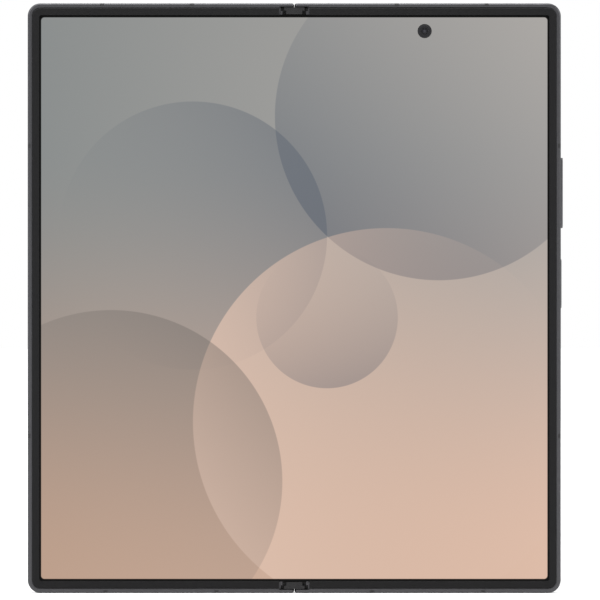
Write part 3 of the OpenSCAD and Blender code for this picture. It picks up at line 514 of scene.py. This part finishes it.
# %% Metal frames, bands and card tray
for node, name, side, finish, slot_name, body in (
        ("right_frame", "right_case", "right", graphite, "frame_metal", "right_half"),
        ("left_frame", "left_case", "left", graphite, "frame_metal", "left_half"),
        ("right_antenna_bands", "right_bands", "right", band_plastic, "band_plastic", "right_half"),
        ("left_antenna_bands", "left_bands", "left", band_plastic, "band_plastic", "left_half"),
        ("sim_tray", "card_tray", "left", graphite, "key_metal", "sim_tray")):
    piece = model_copy(node, name)
    combine(piece, shapes[side], "INTERSECT")
    dress(piece, finish)
    keep_flats_flat(piece)
    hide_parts(node)
    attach(piece, body)
    print(name, "faces:", len(piece.data.polygons))
for shape in shapes.values():
    bpy.data.objects.remove(shape)

# %% [markdown]
# ## Display rim
# A soft plastic rim stands a little above the display and keeps its two sides apart when the phone is
# shut. It is moulded, with a wide round on the outside and a small one next to the display.

# %% Display rim
RIM_OUTSIDE, RIM_INSIDE = 1.6, 2.8
RIM_ROUND, RIM_EASE = 0.32, 0.1


def on_rim_outside(edge, corners):
    return all(abs(c[1] - RIM_FRONT) < CLOSE and to_outline(c) < RIM_OUTSIDE for c in corners)


def on_rim_inside(edge, corners):
    return all(abs(c[1] - RIM_FRONT) < CLOSE and to_outline(c) > RIM_INSIDE for c in corners)


for side in ("right", "left"):
    rim = finer_copy(f"{side}_bezel", f"{side}_rim",
                     (on_rim_outside, RIM_ROUND, 5), (on_rim_inside, RIM_EASE, 3))
    dress(rim, rim_plastic)
    keep_flats_flat(rim)
    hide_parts(f"{side}_bezel")
    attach(rim, f"{side}_half")

# %% [markdown]
# ## Back glass and cover glass
# Both are flat plates let into the frame, ground to a small round at the edge. One is frosted, and the
# other is polished over the second display, which is off and looks black.

# %% Back glass and cover glass
GLASS_MARGIN, GLASS_EASE = (0.5, 1.2), 0.15


def on_glass_edge(edge, corners):
    return all(abs(c[1] - FACE_Y) < CLOSE and GLASS_MARGIN[0] < to_outline(c) < GLASS_MARGIN[1]
               for c in corners)


glass = dress(finer_copy("rear_glass", "back_plate_glass", (on_glass_edge, GLASS_EASE, 3)), frosted_back)
keep_flats_flat(glass)
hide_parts("rear_glass")
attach(glass, "right_half")
window = dress(finer_copy("cover_glass", "cover_window", (on_glass_edge, GLASS_EASE, 3)), black_glass)
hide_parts("cover_glass")
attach(window, "left_half")

# %% [markdown]
# ## Picture on the display
# The lit display glows in its own colours, so its picture goes to the shader's emission. The picture is
# a calm one of large overlapping discs on a cool to warm ground. Each disc darkens towards one side.
# It is drawn from the sheet's own UV, so that it stays in place when the sheet bends.

# %% Picture on the display
UV_SPAN = height
LIT_HALF_X, LIT_HALF_Z, LIT_CORNER = 67.95, 75.36, 0.9
DISC_SOFT, DISC_FALL, FIELD_SOFT = 0.12, 1.5, 0.08


def picture_disc(tree, where, below, centre, radius, lean, tint, strength):
    """A disc of a tint over what is below, which grows stronger towards the side it leans to."""
    apart = tree.nodes.new("ShaderNodeVectorMath")
    apart.operation = "SUBTRACT"
    apart.inputs[1].default_value = (centre[0] / UV_SPAN, centre[1] / UV_SPAN, 0)
    wire(tree, where, apart.inputs[0])
    length = tree.nodes.new("ShaderNodeVectorMath")
    length.operation = "LENGTH"
    wire(tree, apart.outputs[0], length.inputs[0])
    edge = tree.nodes.new("ShaderNodeMapRange")
    edge.interpolation_type = "SMOOTHSTEP"
    edge.inputs["From Min"].default_value = (radius + DISC_SOFT) / UV_SPAN
    edge.inputs["From Max"].default_value = (radius - DISC_SOFT) / UV_SPAN
    wire(tree, length.outputs["Value"], edge.inputs["Value"])
    slope = tree.nodes.new("ShaderNodeVectorMath")
    slope.operation = "DOT_PRODUCT"
    size = math.hypot(*lean) * radius / UV_SPAN
    slope.inputs[1].default_value = (lean[0] / size, lean[1] / size, 0)
    wire(tree, apart.outputs[0], slope.inputs[0])
    ramp = number(tree, "MULTIPLY_ADD", slope.outputs["Value"], 0.5, clamp=True)
    ramp.node.inputs[2].default_value = 0.5
    shade = number(tree, "MULTIPLY", number(tree, "POWER", ramp, DISC_FALL), edge.outputs[0])
    return blend_colours(tree, number(tree, "MULTIPLY", shade, strength), below, tint)


def lit_field(tree, where):
    """1 inside the lit rounded rectangle, 0 outside it, and the two parts of the place."""
    parts = tree.nodes.new("ShaderNodeSeparateXYZ")
    wire(tree, where, parts.inputs[0])
    sides = []
    for output, half in ((parts.outputs[0], LIT_HALF_X), (parts.outputs[1], LIT_HALF_Z)):
        away = number(tree, "ABSOLUTE", number(tree, "SUBTRACT", output, 0.5))
        past = number(tree, "SUBTRACT", away, (half - LIT_CORNER) / UV_SPAN)
        sides.append(number(tree, "MAXIMUM", past, 0.0))
    squares = [number(tree, "MULTIPLY", s, s) for s in sides]
    gap = number(tree, "SQRT", number(tree, "ADD", squares[0], squares[1]))
    edge = tree.nodes.new("ShaderNodeMapRange")
    edge.inputs["From Min"].default_value = (LIT_CORNER + FIELD_SOFT) / UV_SPAN
    edge.inputs["From Max"].default_value = (LIT_CORNER - FIELD_SOFT) / UV_SPAN
    wire(tree, gap, edge.inputs["Value"])
    return edge.outputs[0], parts


def display_picture():
    material, tree, shader = new_material("display_picture")
    uv = tree.nodes.new("ShaderNodeUVMap")
    uv.uv_map = "sheet"
    lit, parts = lit_field(tree, uv.outputs[0])
    across, up = parts.outputs[0], parts.outputs[1]
    top = blend_colours(tree, across, tone(134, 138, 138), tone(172, 168, 164))
    low = blend_colours(tree, across, tone(186, 156, 136), tone(222, 188, 168))
    rise = tree.nodes.new("ShaderNodeMapRange")
    rise.interpolation_type = "SMOOTHSTEP"
    rise.inputs["From Min"].default_value = 0.02
    rise.inputs["From Max"].default_value = 0.76
    wire(tree, up, rise.inputs["Value"])
    colour = blend_colours(tree, rise.outputs[0], low, top)
    slate, stone, peach = tone(84, 94, 108), tone(112, 106, 102), tone(226, 196, 178)
    for centre, radius, lean, tint, strength in (
            ((118, 128), 44, (-0.6, -1), slate, 0.62),
            ((52, 96), 36, (1, 0.5), slate, 0.5),
            ((104, 46), 52, (-1, -0.1), peach, 0.75),
            ((30, 30), 46, (0.9, 1), stone, 0.5),
            ((88, 74), 19, (0.2, -1), slate, 0.45)):
        colour = picture_disc(tree, uv.outputs[0], colour, centre, radius, lean, tint, strength)
    glow = blend_colours(tree, lit, (0, 0, 0, 1), colour)
    wire(tree, glow, shader.inputs["Emission Color"])
    shader.inputs["Emission Strength"].default_value = 1
    grain = noise(tree, uv.outputs[0], 4, 1)
    wire(tree, stretch_range(tree, grain, 0.1, 0.16), shader.inputs["Roughness"])
    under = blend_colours(tree, lit, (0.001, 0.001, 0.001, 1), (0.004, 0.004, 0.004, 1))
    wire(tree, under, shader.inputs["Base Color"])
    shader.inputs["Specular IOR Level"].default_value = 0.06
    return material


picture = display_picture()
print("picture nodes:", len(picture.node_tree.nodes))

# %% [markdown]
# ## Display sheets
# The inner display is one thin sheet. Here it is four: two flat panels on the halves, and two narrow
# ones between them, across the fold. Each starts as a block whose seen corners are rounded.
# UV is laid over the fronts of all four at one scale, so that the picture runs across them. The edges
# and backs get a place outside the picture, where the material is dark.

# %% Display sheets
DISPLAY_X, BEND_X, DISPLAY_LOW, DISPLAY_HIGH = 68.6, 11.3, 3.1, 155.3
DISPLAY_FRONT, DISPLAY_BACK, SHEET_CORNER = -2.0, -1.4, 0.6
OUTSIDE_PICTURE = (-1, -1)


def fresh_uv(piece, name):
    while piece.data.uv_layers:
        piece.data.uv_layers.remove(piece.data.uv_layers[0])
    return piece.data.uv_layers.new(name=name)


def lay_picture(piece):
    layer = fresh_uv(piece, "sheet")
    for face in piece.data.polygons:
        in_front = face.normal.y < -0.5
        for i in face.loop_indices:
            x, y, z = piece.data.vertices[piece.data.loops[i].vertex_index].co / MM
            layer.data[i].uv = (x / UV_SPAN + 0.5, z / UV_SPAN) if in_front else OUTSIDE_PICTURE


def display_sheet(name, x0, x1, corner_x=None):
    piece = block(name, (x0, DISPLAY_FRONT, DISPLAY_LOW), (x1, DISPLAY_BACK, DISPLAY_HIGH))
    if corner_x is not None:
        pick(piece, "EDGE", lambda edge, cs: all(abs(c[0] - corner_x) < CLOSE for c in cs)
             and abs(cs[0][2] - cs[1][2]) < CLOSE)
        bevel(SHEET_CORNER, 8)
    return piece


screens = {"right": display_sheet("right_screen", BEND_X, DISPLAY_X, DISPLAY_X),
           "left": display_sheet("left_screen", -DISPLAY_X, -BEND_X, -DISPLAY_X)}
for side, piece in screens.items():
    print(piece.name, "faces:", len(piece.data.polygons))

# %% [markdown]
# ## Hole for the inner camera
# The camera looks through a round hole punched in the right sheet. A disc is subtracted from it with
# a Boolean modifier, as a punch would do, and the modifier is applied.

# %% Hole for the inner camera
CAMERA_X, CAMERA_Z, HOLE_RADIUS = 35.0, 150.9, 1.9
SHEET_MIDDLE = (DISPLAY_FRONT + DISPLAY_BACK) / 2
punch = disc("punch", (CAMERA_X, SHEET_MIDDLE, CAMERA_Z), HOLE_RADIUS, 3, 72)
combine(screens["right"], punch, "DIFFERENCE")
bpy.data.objects.remove(punch)
for side, piece in screens.items():
    lay_picture(piece)
    dress(piece, picture)
    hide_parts(f"{side}_display_panel")
    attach(piece, f"{side}_half")
print("right screen faces after the hole:", len(screens["right"].data.polygons))

# %% [markdown]
# ## Strips across the fold
# A strip needs many narrow bands to bend smoothly, so the edges that run across it are subdivided.

# %% Strips across the fold
BEND_START, STRIP_CUTS = 3.4, 56

for side, sign in (("right", 1), ("left", -1)):
    ends = sorted((0, sign * BEND_X))
    strip = display_sheet(f"{side}_bend_strip", *ends)
    pick(strip, "EDGE", lambda edge, cs: abs(cs[0][0] - cs[1][0]) > 1)
    bpy.ops.mesh.subdivide(number_cuts=STRIP_CUTS)
    done()
    lay_picture(strip)
    dress(strip, picture)
    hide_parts("display_bend_zone")
    if sign > 0:
        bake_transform(strip)
    else:
        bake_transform(strip)
    print(strip.name, "bands:", len(strip.data.polygons))

# %% [markdown]
# ## Cables across the hinge
# Two flat film cables join the boards of the halves. On the real object they are slack and bend round
# the spine, so each is made as two strips with many narrow bands that meet at the fold line.

# %% Cables across the hinge
CABLE_Y, CABLE_WIDTH, CABLE_CUTS = (-0.6, -0.45), 6.0, 64
cable_low, cable_high = [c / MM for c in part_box("hinge_flex_cables")]
for i, low_z in enumerate((cable_low[2], cable_high[2] - CABLE_WIDTH), 1):
    for side, sign in (("right", 1), ("left", -1)):
        ends = sorted((0, sign * cable_high[0]))
        strip = block(f"{side}_cable_{i}", (ends[0], CABLE_Y[0], low_z),
                      (ends[1], CABLE_Y[1], low_z + CABLE_WIDTH))
        pick(strip, "EDGE", lambda edge, cs: abs(cs[0][0] - cs[1][0]) > 1)
        bpy.ops.mesh.subdivide(number_cuts=CABLE_CUTS)
        done()
        dress(strip, film)
        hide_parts("hinge_flex_cables")
        middle = (CABLE_Y[0] + CABLE_Y[1]) / 2 * MM
        if sign > 0:
            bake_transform(strip)
        else:
            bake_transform(strip)
print("cables:", [round(float(v), 2) for v in (cable_low[2], cable_high[2])])

# %% [markdown]
# ## Wing plates
# Two steel plates carry the display beside the fold, and their inner edges sink as the phone shuts.
# The cables cross the hinge just behind them, so each plate has a window there, stamped out of the
# sheet. A block is subtracted from a copy of the model's plate with a Boolean modifier.

# %% Wing plates
WINDOW_X, WINDOW_Y, WINDOW_ROOM, WINDOW_CORNER = (1.5, 8.5), (-1.6, -0.8), 0.8, 0.8

for side, sign in (("right", 1), ("left", -1)):
    wing = model_copy(f"{side}_wing_plate", f"{side}_wing")
    ends = sorted((sign * WINDOW_X[0], sign * WINDOW_X[1]))
    window = block("window", (ends[0], WINDOW_Y[0], cable_low[2] - WINDOW_ROOM),
                   (ends[1], WINDOW_Y[1], cable_high[2] + WINDOW_ROOM))
    pick(window, "EDGE", lambda edge, cs: all(abs(abs(c[0]) - WINDOW_X[1]) < CLOSE for c in cs)
         and abs(cs[0][2] - cs[1][2]) < CLOSE)
    bevel(WINDOW_CORNER, 6)
    combine(wing, window, "DIFFERENCE")
    bpy.data.objects.remove(window)
    dress(wing, wing_steel)
    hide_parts(f"{side}_wing_plate")
    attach(wing, f"{side}_wing")
    print(wing.name, "faces:", len(wing.data.polygons))

# %% [markdown]
# ## Inner camera
# Seen through the hole is a black barrel with a small lens. A cylinder's front is inset and pushed in
# step by step, which makes the barrel's ledges, and a last small inset is swelled out as the lens.

# %% Inner camera
RING_SOFT = 0.04
EYE_RADIUS, EYE_DEPTH = 1.85, 3.9
EYE_LENS_Y, EYE_LENS_RADIUS, EYE_LENS_DEPTH = -1.64, 0.86, 0.12


def turned_steps(piece, direction, steps):
    """Insets the face that looks along direction and pushes it in, for each (inset, push) in mm."""
    pick(piece, "FACE", facing(direction))
    for inset, push in steps:
        if inset:
            bpy.ops.mesh.inset(thickness=inset * MM, depth=0)
        if push:
            bpy.ops.transform.translate(value=[-push * MM * d for d in direction])
    done()


def polished_lens(name, rings):
    """Rings are (outer radius in mm, colour) about the middle of the UV map, the innermost first."""
    material, tree, shader = new_material(name)
    uv = tree.nodes.new("ShaderNodeUVMap")
    uv.uv_map = "face"
    length = tree.nodes.new("ShaderNodeVectorMath")
    length.operation = "LENGTH"
    wire(tree, uv.outputs[0], length.inputs[0])
    colour = (*rings[-1][1], 1)
    for radius, tint in reversed(rings[:-1]):
        inside = tree.nodes.new("ShaderNodeMapRange")
        inside.inputs["From Min"].default_value = radius + RING_SOFT
        inside.inputs["From Max"].default_value = radius - RING_SOFT
        wire(tree, length.outputs["Value"], inside.inputs["Value"])
        colour = blend_colours(tree, inside.outputs[0], colour, (*tint, 1))
    wire(tree, colour, shader.inputs["Base Color"])
    haze = noise(tree, place_on_piece(tree), 2)
    wire(tree, stretch_range(tree, haze, 0.03, 0.06), shader.inputs["Roughness"])
    shader.inputs["Specular IOR Level"].default_value = 0.2
    return material


def lay_face(piece, centre_x, centre_z):
    """UV in mm from the middle of a lens."""
    layer = fresh_uv(piece, "face")
    for loop in piece.data.loops:
        x, y, z = piece.data.vertices[loop.vertex_index].co / MM
        layer.data[loop.index].uv = (x - centre_x, z - centre_z)


small_lens = polished_lens("small_lens", [
    (0.35, (0.03, 0.03, 0.036)), (0.6, (0.008, 0.008, 0.012)), (2, (0.004, 0.004, 0.005))])
large_lens = polished_lens("large_lens", [
    (0.9, (0.004, 0.006, 0.012)), (1.55, (0.012, 0.014, 0.03)), (1.75, (0.05, 0.05, 0.055)),
    (2.6, (0.006, 0.006, 0.008)), (2.75, (0.035, 0.035, 0.04)), (3.9, (0.004, 0.004, 0.005)),
    (4.05, (0.03, 0.03, 0.033)), (6, (0.0025, 0.0025, 0.003))])
inner_eye = disc("inner_camera_eye", (CAMERA_X, 0, CAMERA_Z), EYE_RADIUS, EYE_DEPTH, 72)
turned_steps(inner_eye, (0, -1, 0), [
    (0.12, 0), (0, 0.06), (0.5, 0), (0.02, 0.12), (0.35, 0), (0.02, 0.1)])
dress(inner_eye, camera_black)
inner_lens = disc("inner_camera_lens", (CAMERA_X, EYE_LENS_Y, CAMERA_Z),
                  EYE_LENS_RADIUS, EYE_LENS_DEPTH, 48)
turned_steps(inner_lens, (0, -1, 0), [(0.2, -0.04), (0.2, -0.03), (0.2, -0.01)])
dress(inner_lens, small_lens, 80)
lay_face(inner_lens, CAMERA_X, CAMERA_Z)
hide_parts("inner_camera")
for piece in (inner_eye, inner_lens):
    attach(piece, "right_half")
print("inner camera:", len(inner_eye.data.polygons), "faces")

# %% [markdown]
# ## Camera behind the cover glass
# The second display has a camera too, and its small round window shows in the black glass. A shallow
# round pocket is cut into the plate with a Boolean, and a disc with the lens's rings lies in it.

# %% Camera behind the cover glass
cover_plate = bpy.data.objects["cover_window"]
cover_eye_low, cover_eye_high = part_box("cover_camera")
COVER_EYE_X, COVER_EYE_Z = [(cover_eye_low[i] + cover_eye_high[i]) / 2 / MM for i in (0, 2)]
POCKET_RADIUS, POCKET_DEPTH = 1.9, 0.2
COVER_EYE_Y, COVER_EYE_RADIUS, COVER_EYE_DEPTH = 1.998, 1.88, 0.18
pocket = disc("pocket", (COVER_EYE_X, FACE_Y, COVER_EYE_Z), POCKET_RADIUS, 2 * POCKET_DEPTH, 72)
combine(cover_plate, pocket, "DIFFERENCE")
bpy.data.objects.remove(pocket)
dress(cover_plate, black_glass)
keep_flats_flat(cover_plate)
cover_lens = polished_lens("cover_lens", [
    (0.45, (0.02, 0.024, 0.045)), (0.8, (0.006, 0.007, 0.012)), (0.95, (0.05, 0.05, 0.055)),
    (1.6, (0.004, 0.004, 0.005)), (1.75, (0.04, 0.04, 0.044)), (3, (0.003, 0.003, 0.0035))])
cover_eye = disc("cover_camera_eye", (COVER_EYE_X, COVER_EYE_Y, COVER_EYE_Z),
                 COVER_EYE_RADIUS, COVER_EYE_DEPTH, 72)
turned_steps(cover_eye, (0, 1, 0), [(0.1, 0), (0.03, 0.02), (0.75, 0), (0.05, 0.02)])
dress(cover_eye, cover_lens)
lay_face(cover_eye, COVER_EYE_X, COVER_EYE_Z)
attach(cover_eye, "left_half")
print("cover camera at", round(COVER_EYE_X, 2), round(COVER_EYE_Z, 2), "mm")

# %% [markdown]
# ## Keys
# Each key is a slim bar with full round ends that stands proud of the side wall, on a wider foot that
# holds it in. The bar is one block with its ends bevelled to full rounds, and the foot is a second
# block joined to it.

# %% Keys
KEY_WIDTH, KEY_INNER, FULL_ROUND, KEY_EASE = 2.0, 68.675, 0.495, 0.16
FOOT_X, FOOT_Y, FOOT_MORE, FOOT_CORNER = (68.3, 69.05), (-0.9, 1.55), 0.7, 0.5


def side_key(name, middle, length, out):
    low, high = middle - length / 2, middle + length / 2
    bar = block(name, (KEY_INNER, -KEY_WIDTH / 2, low), (half_width + out, KEY_WIDTH / 2, high))
    pick(bar, "EDGE", lambda edge, cs: abs(cs[0][0] - cs[1][0]) > 1)
    bevel(KEY_WIDTH * FULL_ROUND, 10)
    pick(bar, "EDGE", lambda edge, cs: all(c[0] > half_width for c in cs))
    bevel(KEY_EASE, 3)
    foot = block("foot", (FOOT_X[0], FOOT_Y[0], low - FOOT_MORE),
                 (FOOT_X[1], FOOT_Y[1], high + FOOT_MORE))
    pick(foot, "EDGE", lambda edge, cs: abs(cs[0][0] - cs[1][0]) > 0.5)
    bevel(FOOT_CORNER, 4)
    combine(bar, foot, "UNION")
    bpy.data.objects.remove(foot)
    dress(bar, key_metal)
    print(name, "stands out", out, "mm")
    return bar


for name, middle, length, out in (("volume", 107.5, 19.0, 0.56), ("power", 83.1, 13.3, 0.22)):
    key = side_key(f"{name}_bar", middle, length, out)
    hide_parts(f"{name}_key")
    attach(key, f"{name}_key")

# %% [markdown]
# ## Camera plate
# The three rear cameras stand on a long plate with full round ends, which is milled and blasted like
# the frame. A block is bevelled to the round ends, and the edge away from the glass is eased.

# %% Camera plate
PLATE_X, PLATE_WIDTH, PLATE_LOW, PLATE_HIGH = 58.1, 19.0, 93.4, 151.4
PLATE_BACK, PLATE_ROUND, PLATE_EASE = 3.0, 0.4999, 0.3
LENS_HEIGHTS = (141.9, 122.9, 103.9)
plate = block("camera_island", (PLATE_X - PLATE_WIDTH / 2, FACE_Y, PLATE_LOW),
              (PLATE_X + PLATE_WIDTH / 2, PLATE_BACK, PLATE_HIGH))
pick(plate, "EDGE", lambda edge, cs: abs(cs[0][1] - cs[1][1]) > 0.5)
bevel(PLATE_WIDTH * PLATE_ROUND, 32)
pick(plate, "EDGE", lambda edge, cs: all(c[1] > PLATE_BACK - CLOSE for c in cs))
bevel(PLATE_EASE, 4)
dress(plate, camera_metal)
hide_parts("camera_plate")
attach(plate, "right_half")
print("camera plate faces:", len(plate.data.polygons))

# %% [markdown]
# ## Lens rings and lenses
# Each camera has a metal ring with a bright turned edge, and a glass disc set just below its top. One
# ring is made from a cylinder: its face is inset and sunk for the seat, and its edges are bevelled.
# The other two are copies with their own meshes.

# %% Lens rings and lenses
def copy_up(piece, name, rise):
    twin = piece.copy()
    twin.data = piece.data.copy()
    twin.name = twin.data.name = name
    bpy.context.scene.collection.objects.link(twin)
    twin.location.z += rise * MM
    return settle(twin)


RING_RADIUS, RING_BACK, RING_HEIGHT, RING_EASE = 7.4, 3.9, 0.9, 0.22
LENS_Y, LENS_RADIUS, LENS_DEPTH = 3.6, 5.65, 0.36


def lens_ring(name, z):
    def from_middle(corner):
        return math.hypot(corner[0] - PLATE_X, corner[2] - z)

    ring = disc(name, (PLATE_X, RING_BACK - RING_HEIGHT / 2, z), RING_RADIUS, RING_HEIGHT, 128)
    turned_steps(ring, (0, 1, 0), [(1.7, 0), (0.001, 0.5)])
    pick(ring, "EDGE", lambda edge, cs: all(c[1] > RING_BACK - CLOSE for c in cs)
         and abs(from_middle(cs[0]) - from_middle(cs[1])) < CLOSE)
    bevel(RING_EASE, 3)
    return dress(ring, camera_metal)


def lens_glass(name, z):
    glass = disc(name, (PLATE_X, LENS_Y, z), LENS_RADIUS, LENS_DEPTH, 96)
    turned_steps(glass, (0, 1, 0), [
        (0.15, 0), (1.5, 0), (0.6, 0.06), (0.9, 0), (0.5, 0.05), (0.5, 0)])
    lay_face(glass, PLATE_X, z)
    return dress(glass, large_lens)


rings = [lens_ring("lens_ring_1", LENS_HEIGHTS[0])]
glasses = [lens_glass("lens_glass_1", LENS_HEIGHTS[0])]
for i, z in enumerate(LENS_HEIGHTS[1:], 2):
    rings.append(copy_up(rings[0], f"lens_ring_{i}", z - LENS_HEIGHTS[0]))
    glasses.append(copy_up(glasses[0], f"lens_glass_{i}", z - LENS_HEIGHTS[0]))
for ring in rings:
    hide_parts("camera_rings")
    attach(ring, "right_half")
for glass in glasses:
    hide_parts("camera_lenses")
    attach(glass, "right_half")
print("rings:", len(rings), "lenses:", len(glasses))

# %% [markdown]
# ## Flash
# The flash is a moulded yellow lens with fine rings that spread its light. A cylinder's face is inset
# again and again, and each step is sunk or raised a little.

# %% Flash
flash_low, flash_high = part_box("camera_flash")
flash_x, flash_z = [(flash_low[i] + flash_high[i]) / 2 / MM for i in (0, 2)]
FLASH_Y, FLASH_RADIUS, FLASH_DEPTH = 1.775, 1.6, 0.65


def flash_yellow():
    material, tree, shader = new_material("flash_lens")
    where = place_on_piece(tree)
    speck = noise(tree, where, 0.3, 3)
    colour = blend_colours(tree, speck, (0.75, 0.62, 0.3, 1), (0.85, 0.76, 0.5, 1))
    wire(tree, colour, shader.inputs["Base Color"])
    wire(tree, stretch_range(tree, speck, 0.12, 0.22), shader.inputs["Roughness"])
    shader.inputs["Coat Weight"].default_value = 0.5
    return material


flash = disc("flash_window", (flash_x, FLASH_Y, flash_z), FLASH_RADIUS, FLASH_DEPTH, 64)
turned_steps(flash, (0, 1, 0), [
    (0.12, 0), (0.02, 0.05), (0.25, 0), (0.02, -0.05),
    (0.25, 0), (0.02, 0.05), (0.25, 0), (0.02, -0.05)])
dress(flash, flash_yellow(), 25)
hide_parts("camera_flash")
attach(flash, "right_half")
print("flash faces:", len(flash.data.polygons))

# %% [markdown]
# ## Spine and end caps
# The spine cover is a curved strip of metal that closes the hinge from behind, and small plastic caps
# close its ends. Their curve is already in the model's shape, so these nodes stay and get a finish.

# %% Spine and end caps
finish_nodes(spine_metal, "spine_cover")
finish_nodes(cap_plastic, "spine_end_caps")
spine_low, spine_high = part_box("spine_cover")
print("spine cover, mm:", [round((b - a) / MM, 2) for a, b in zip(spine_low, spine_high)])

# %% [markdown]
# ## Floor, lamps and surroundings
# The phone stands on a pale floor in soft, even light. Four large lamps model the edges, and the
# surroundings fill in. The floor and the surroundings look white to the camera and in reflections,
# while the floor still takes the phone's shadow.

# %% Floor, lamps and surroundings
FILL = 0.6


def pale_floor():
    bpy.ops.object.select_all(action="DESELECT")
    bpy.ops.mesh.primitive_plane_add(size=12, location=(0, 0, 0))
    floor = bpy.context.object
    floor.name = "floor"
    material, tree, shader = new_material("pale_floor")
    shader.inputs["Base Color"].default_value = (0.86, 0.86, 0.86, 1)
    shader.inputs["Roughness"].default_value = 0.9
    shader.inputs["Specular IOR Level"].default_value = 0.1
    shader.inputs["Emission Color"].default_value = (1, 1, 1, 1)
    away = tree.nodes.new("ShaderNodeVectorMath")
    away.operation = "LENGTH"
    wire(tree, place_on_piece(tree), away.inputs[0])
    lift = tree.nodes.new("ShaderNodeMapRange")
    for name, value in (("From Min", 0.1), ("From Max", 1.4), ("To Min", 0.3), ("To Max", 0.7)):
        lift.inputs[name].default_value = value
    wire(tree, away.outputs["Value"], lift.inputs["Value"])
    rays = tree.nodes.new("ShaderNodeLightPath")
    seen = number(tree, "MAXIMUM", rays.outputs["Is Camera Ray"], rays.outputs["Is Glossy Ray"])
    wire(tree, number(tree, "MULTIPLY", seen, lift.outputs[0]), shader.inputs["Emission Strength"])
    floor.data.materials.append(material)


def surroundings():
    world = bpy.data.worlds.new("studio")
    bpy.context.scene.world = world
    world.use_nodes = True
    tree = world.node_tree
    sky = tree.nodes["Background"]
    rays = tree.nodes.new("ShaderNodeLightPath")
    seen = number(tree, "MAXIMUM", rays.outputs["Is Camera Ray"], rays.outputs["Is Glossy Ray"])
    seen = number(tree, "MAXIMUM", seen, rays.outputs["Is Transmission Ray"])
    sky.inputs["Color"].default_value = (1, 1, 1, 1)
    strength = number(tree, "MULTIPLY_ADD", seen, 1 - FILL)
    strength.node.inputs[2].default_value = FILL
    wire(tree, strength, sky.inputs["Strength"])


def soft_lamp(name, place, power, size):
    data = bpy.data.lights.new(name, "AREA")
    data.shape, data.size, data.size_y, data.energy = "RECTANGLE", size[0], size[1], power
    lamp = bpy.data.objects.new(name, data)
    bpy.context.scene.collection.objects.link(lamp)
    lamp.location = place
    aim = Vector((0, 0, height / 2 * MM))
    lamp.rotation_euler = (aim - lamp.location).to_track_quat("-Z", "Y").to_euler()


pale_floor()
surroundings()
soft_lamp("left_lamp", (-1.1, -0.9, 0.9), 9, (0.9, 0.9))
soft_lamp("top_lamp", (-0.1, -0.25, 1.25), 11, (1.0, 0.7))
soft_lamp("right_lamp", (1.2, -0.6, 0.7), 6, (0.8, 0.8))
soft_lamp("back_lamp", (0.2, 1.2, 1.0), 9, (1.0, 0.8))
bpy.context.scene.view_settings.view_transform = "Standard"
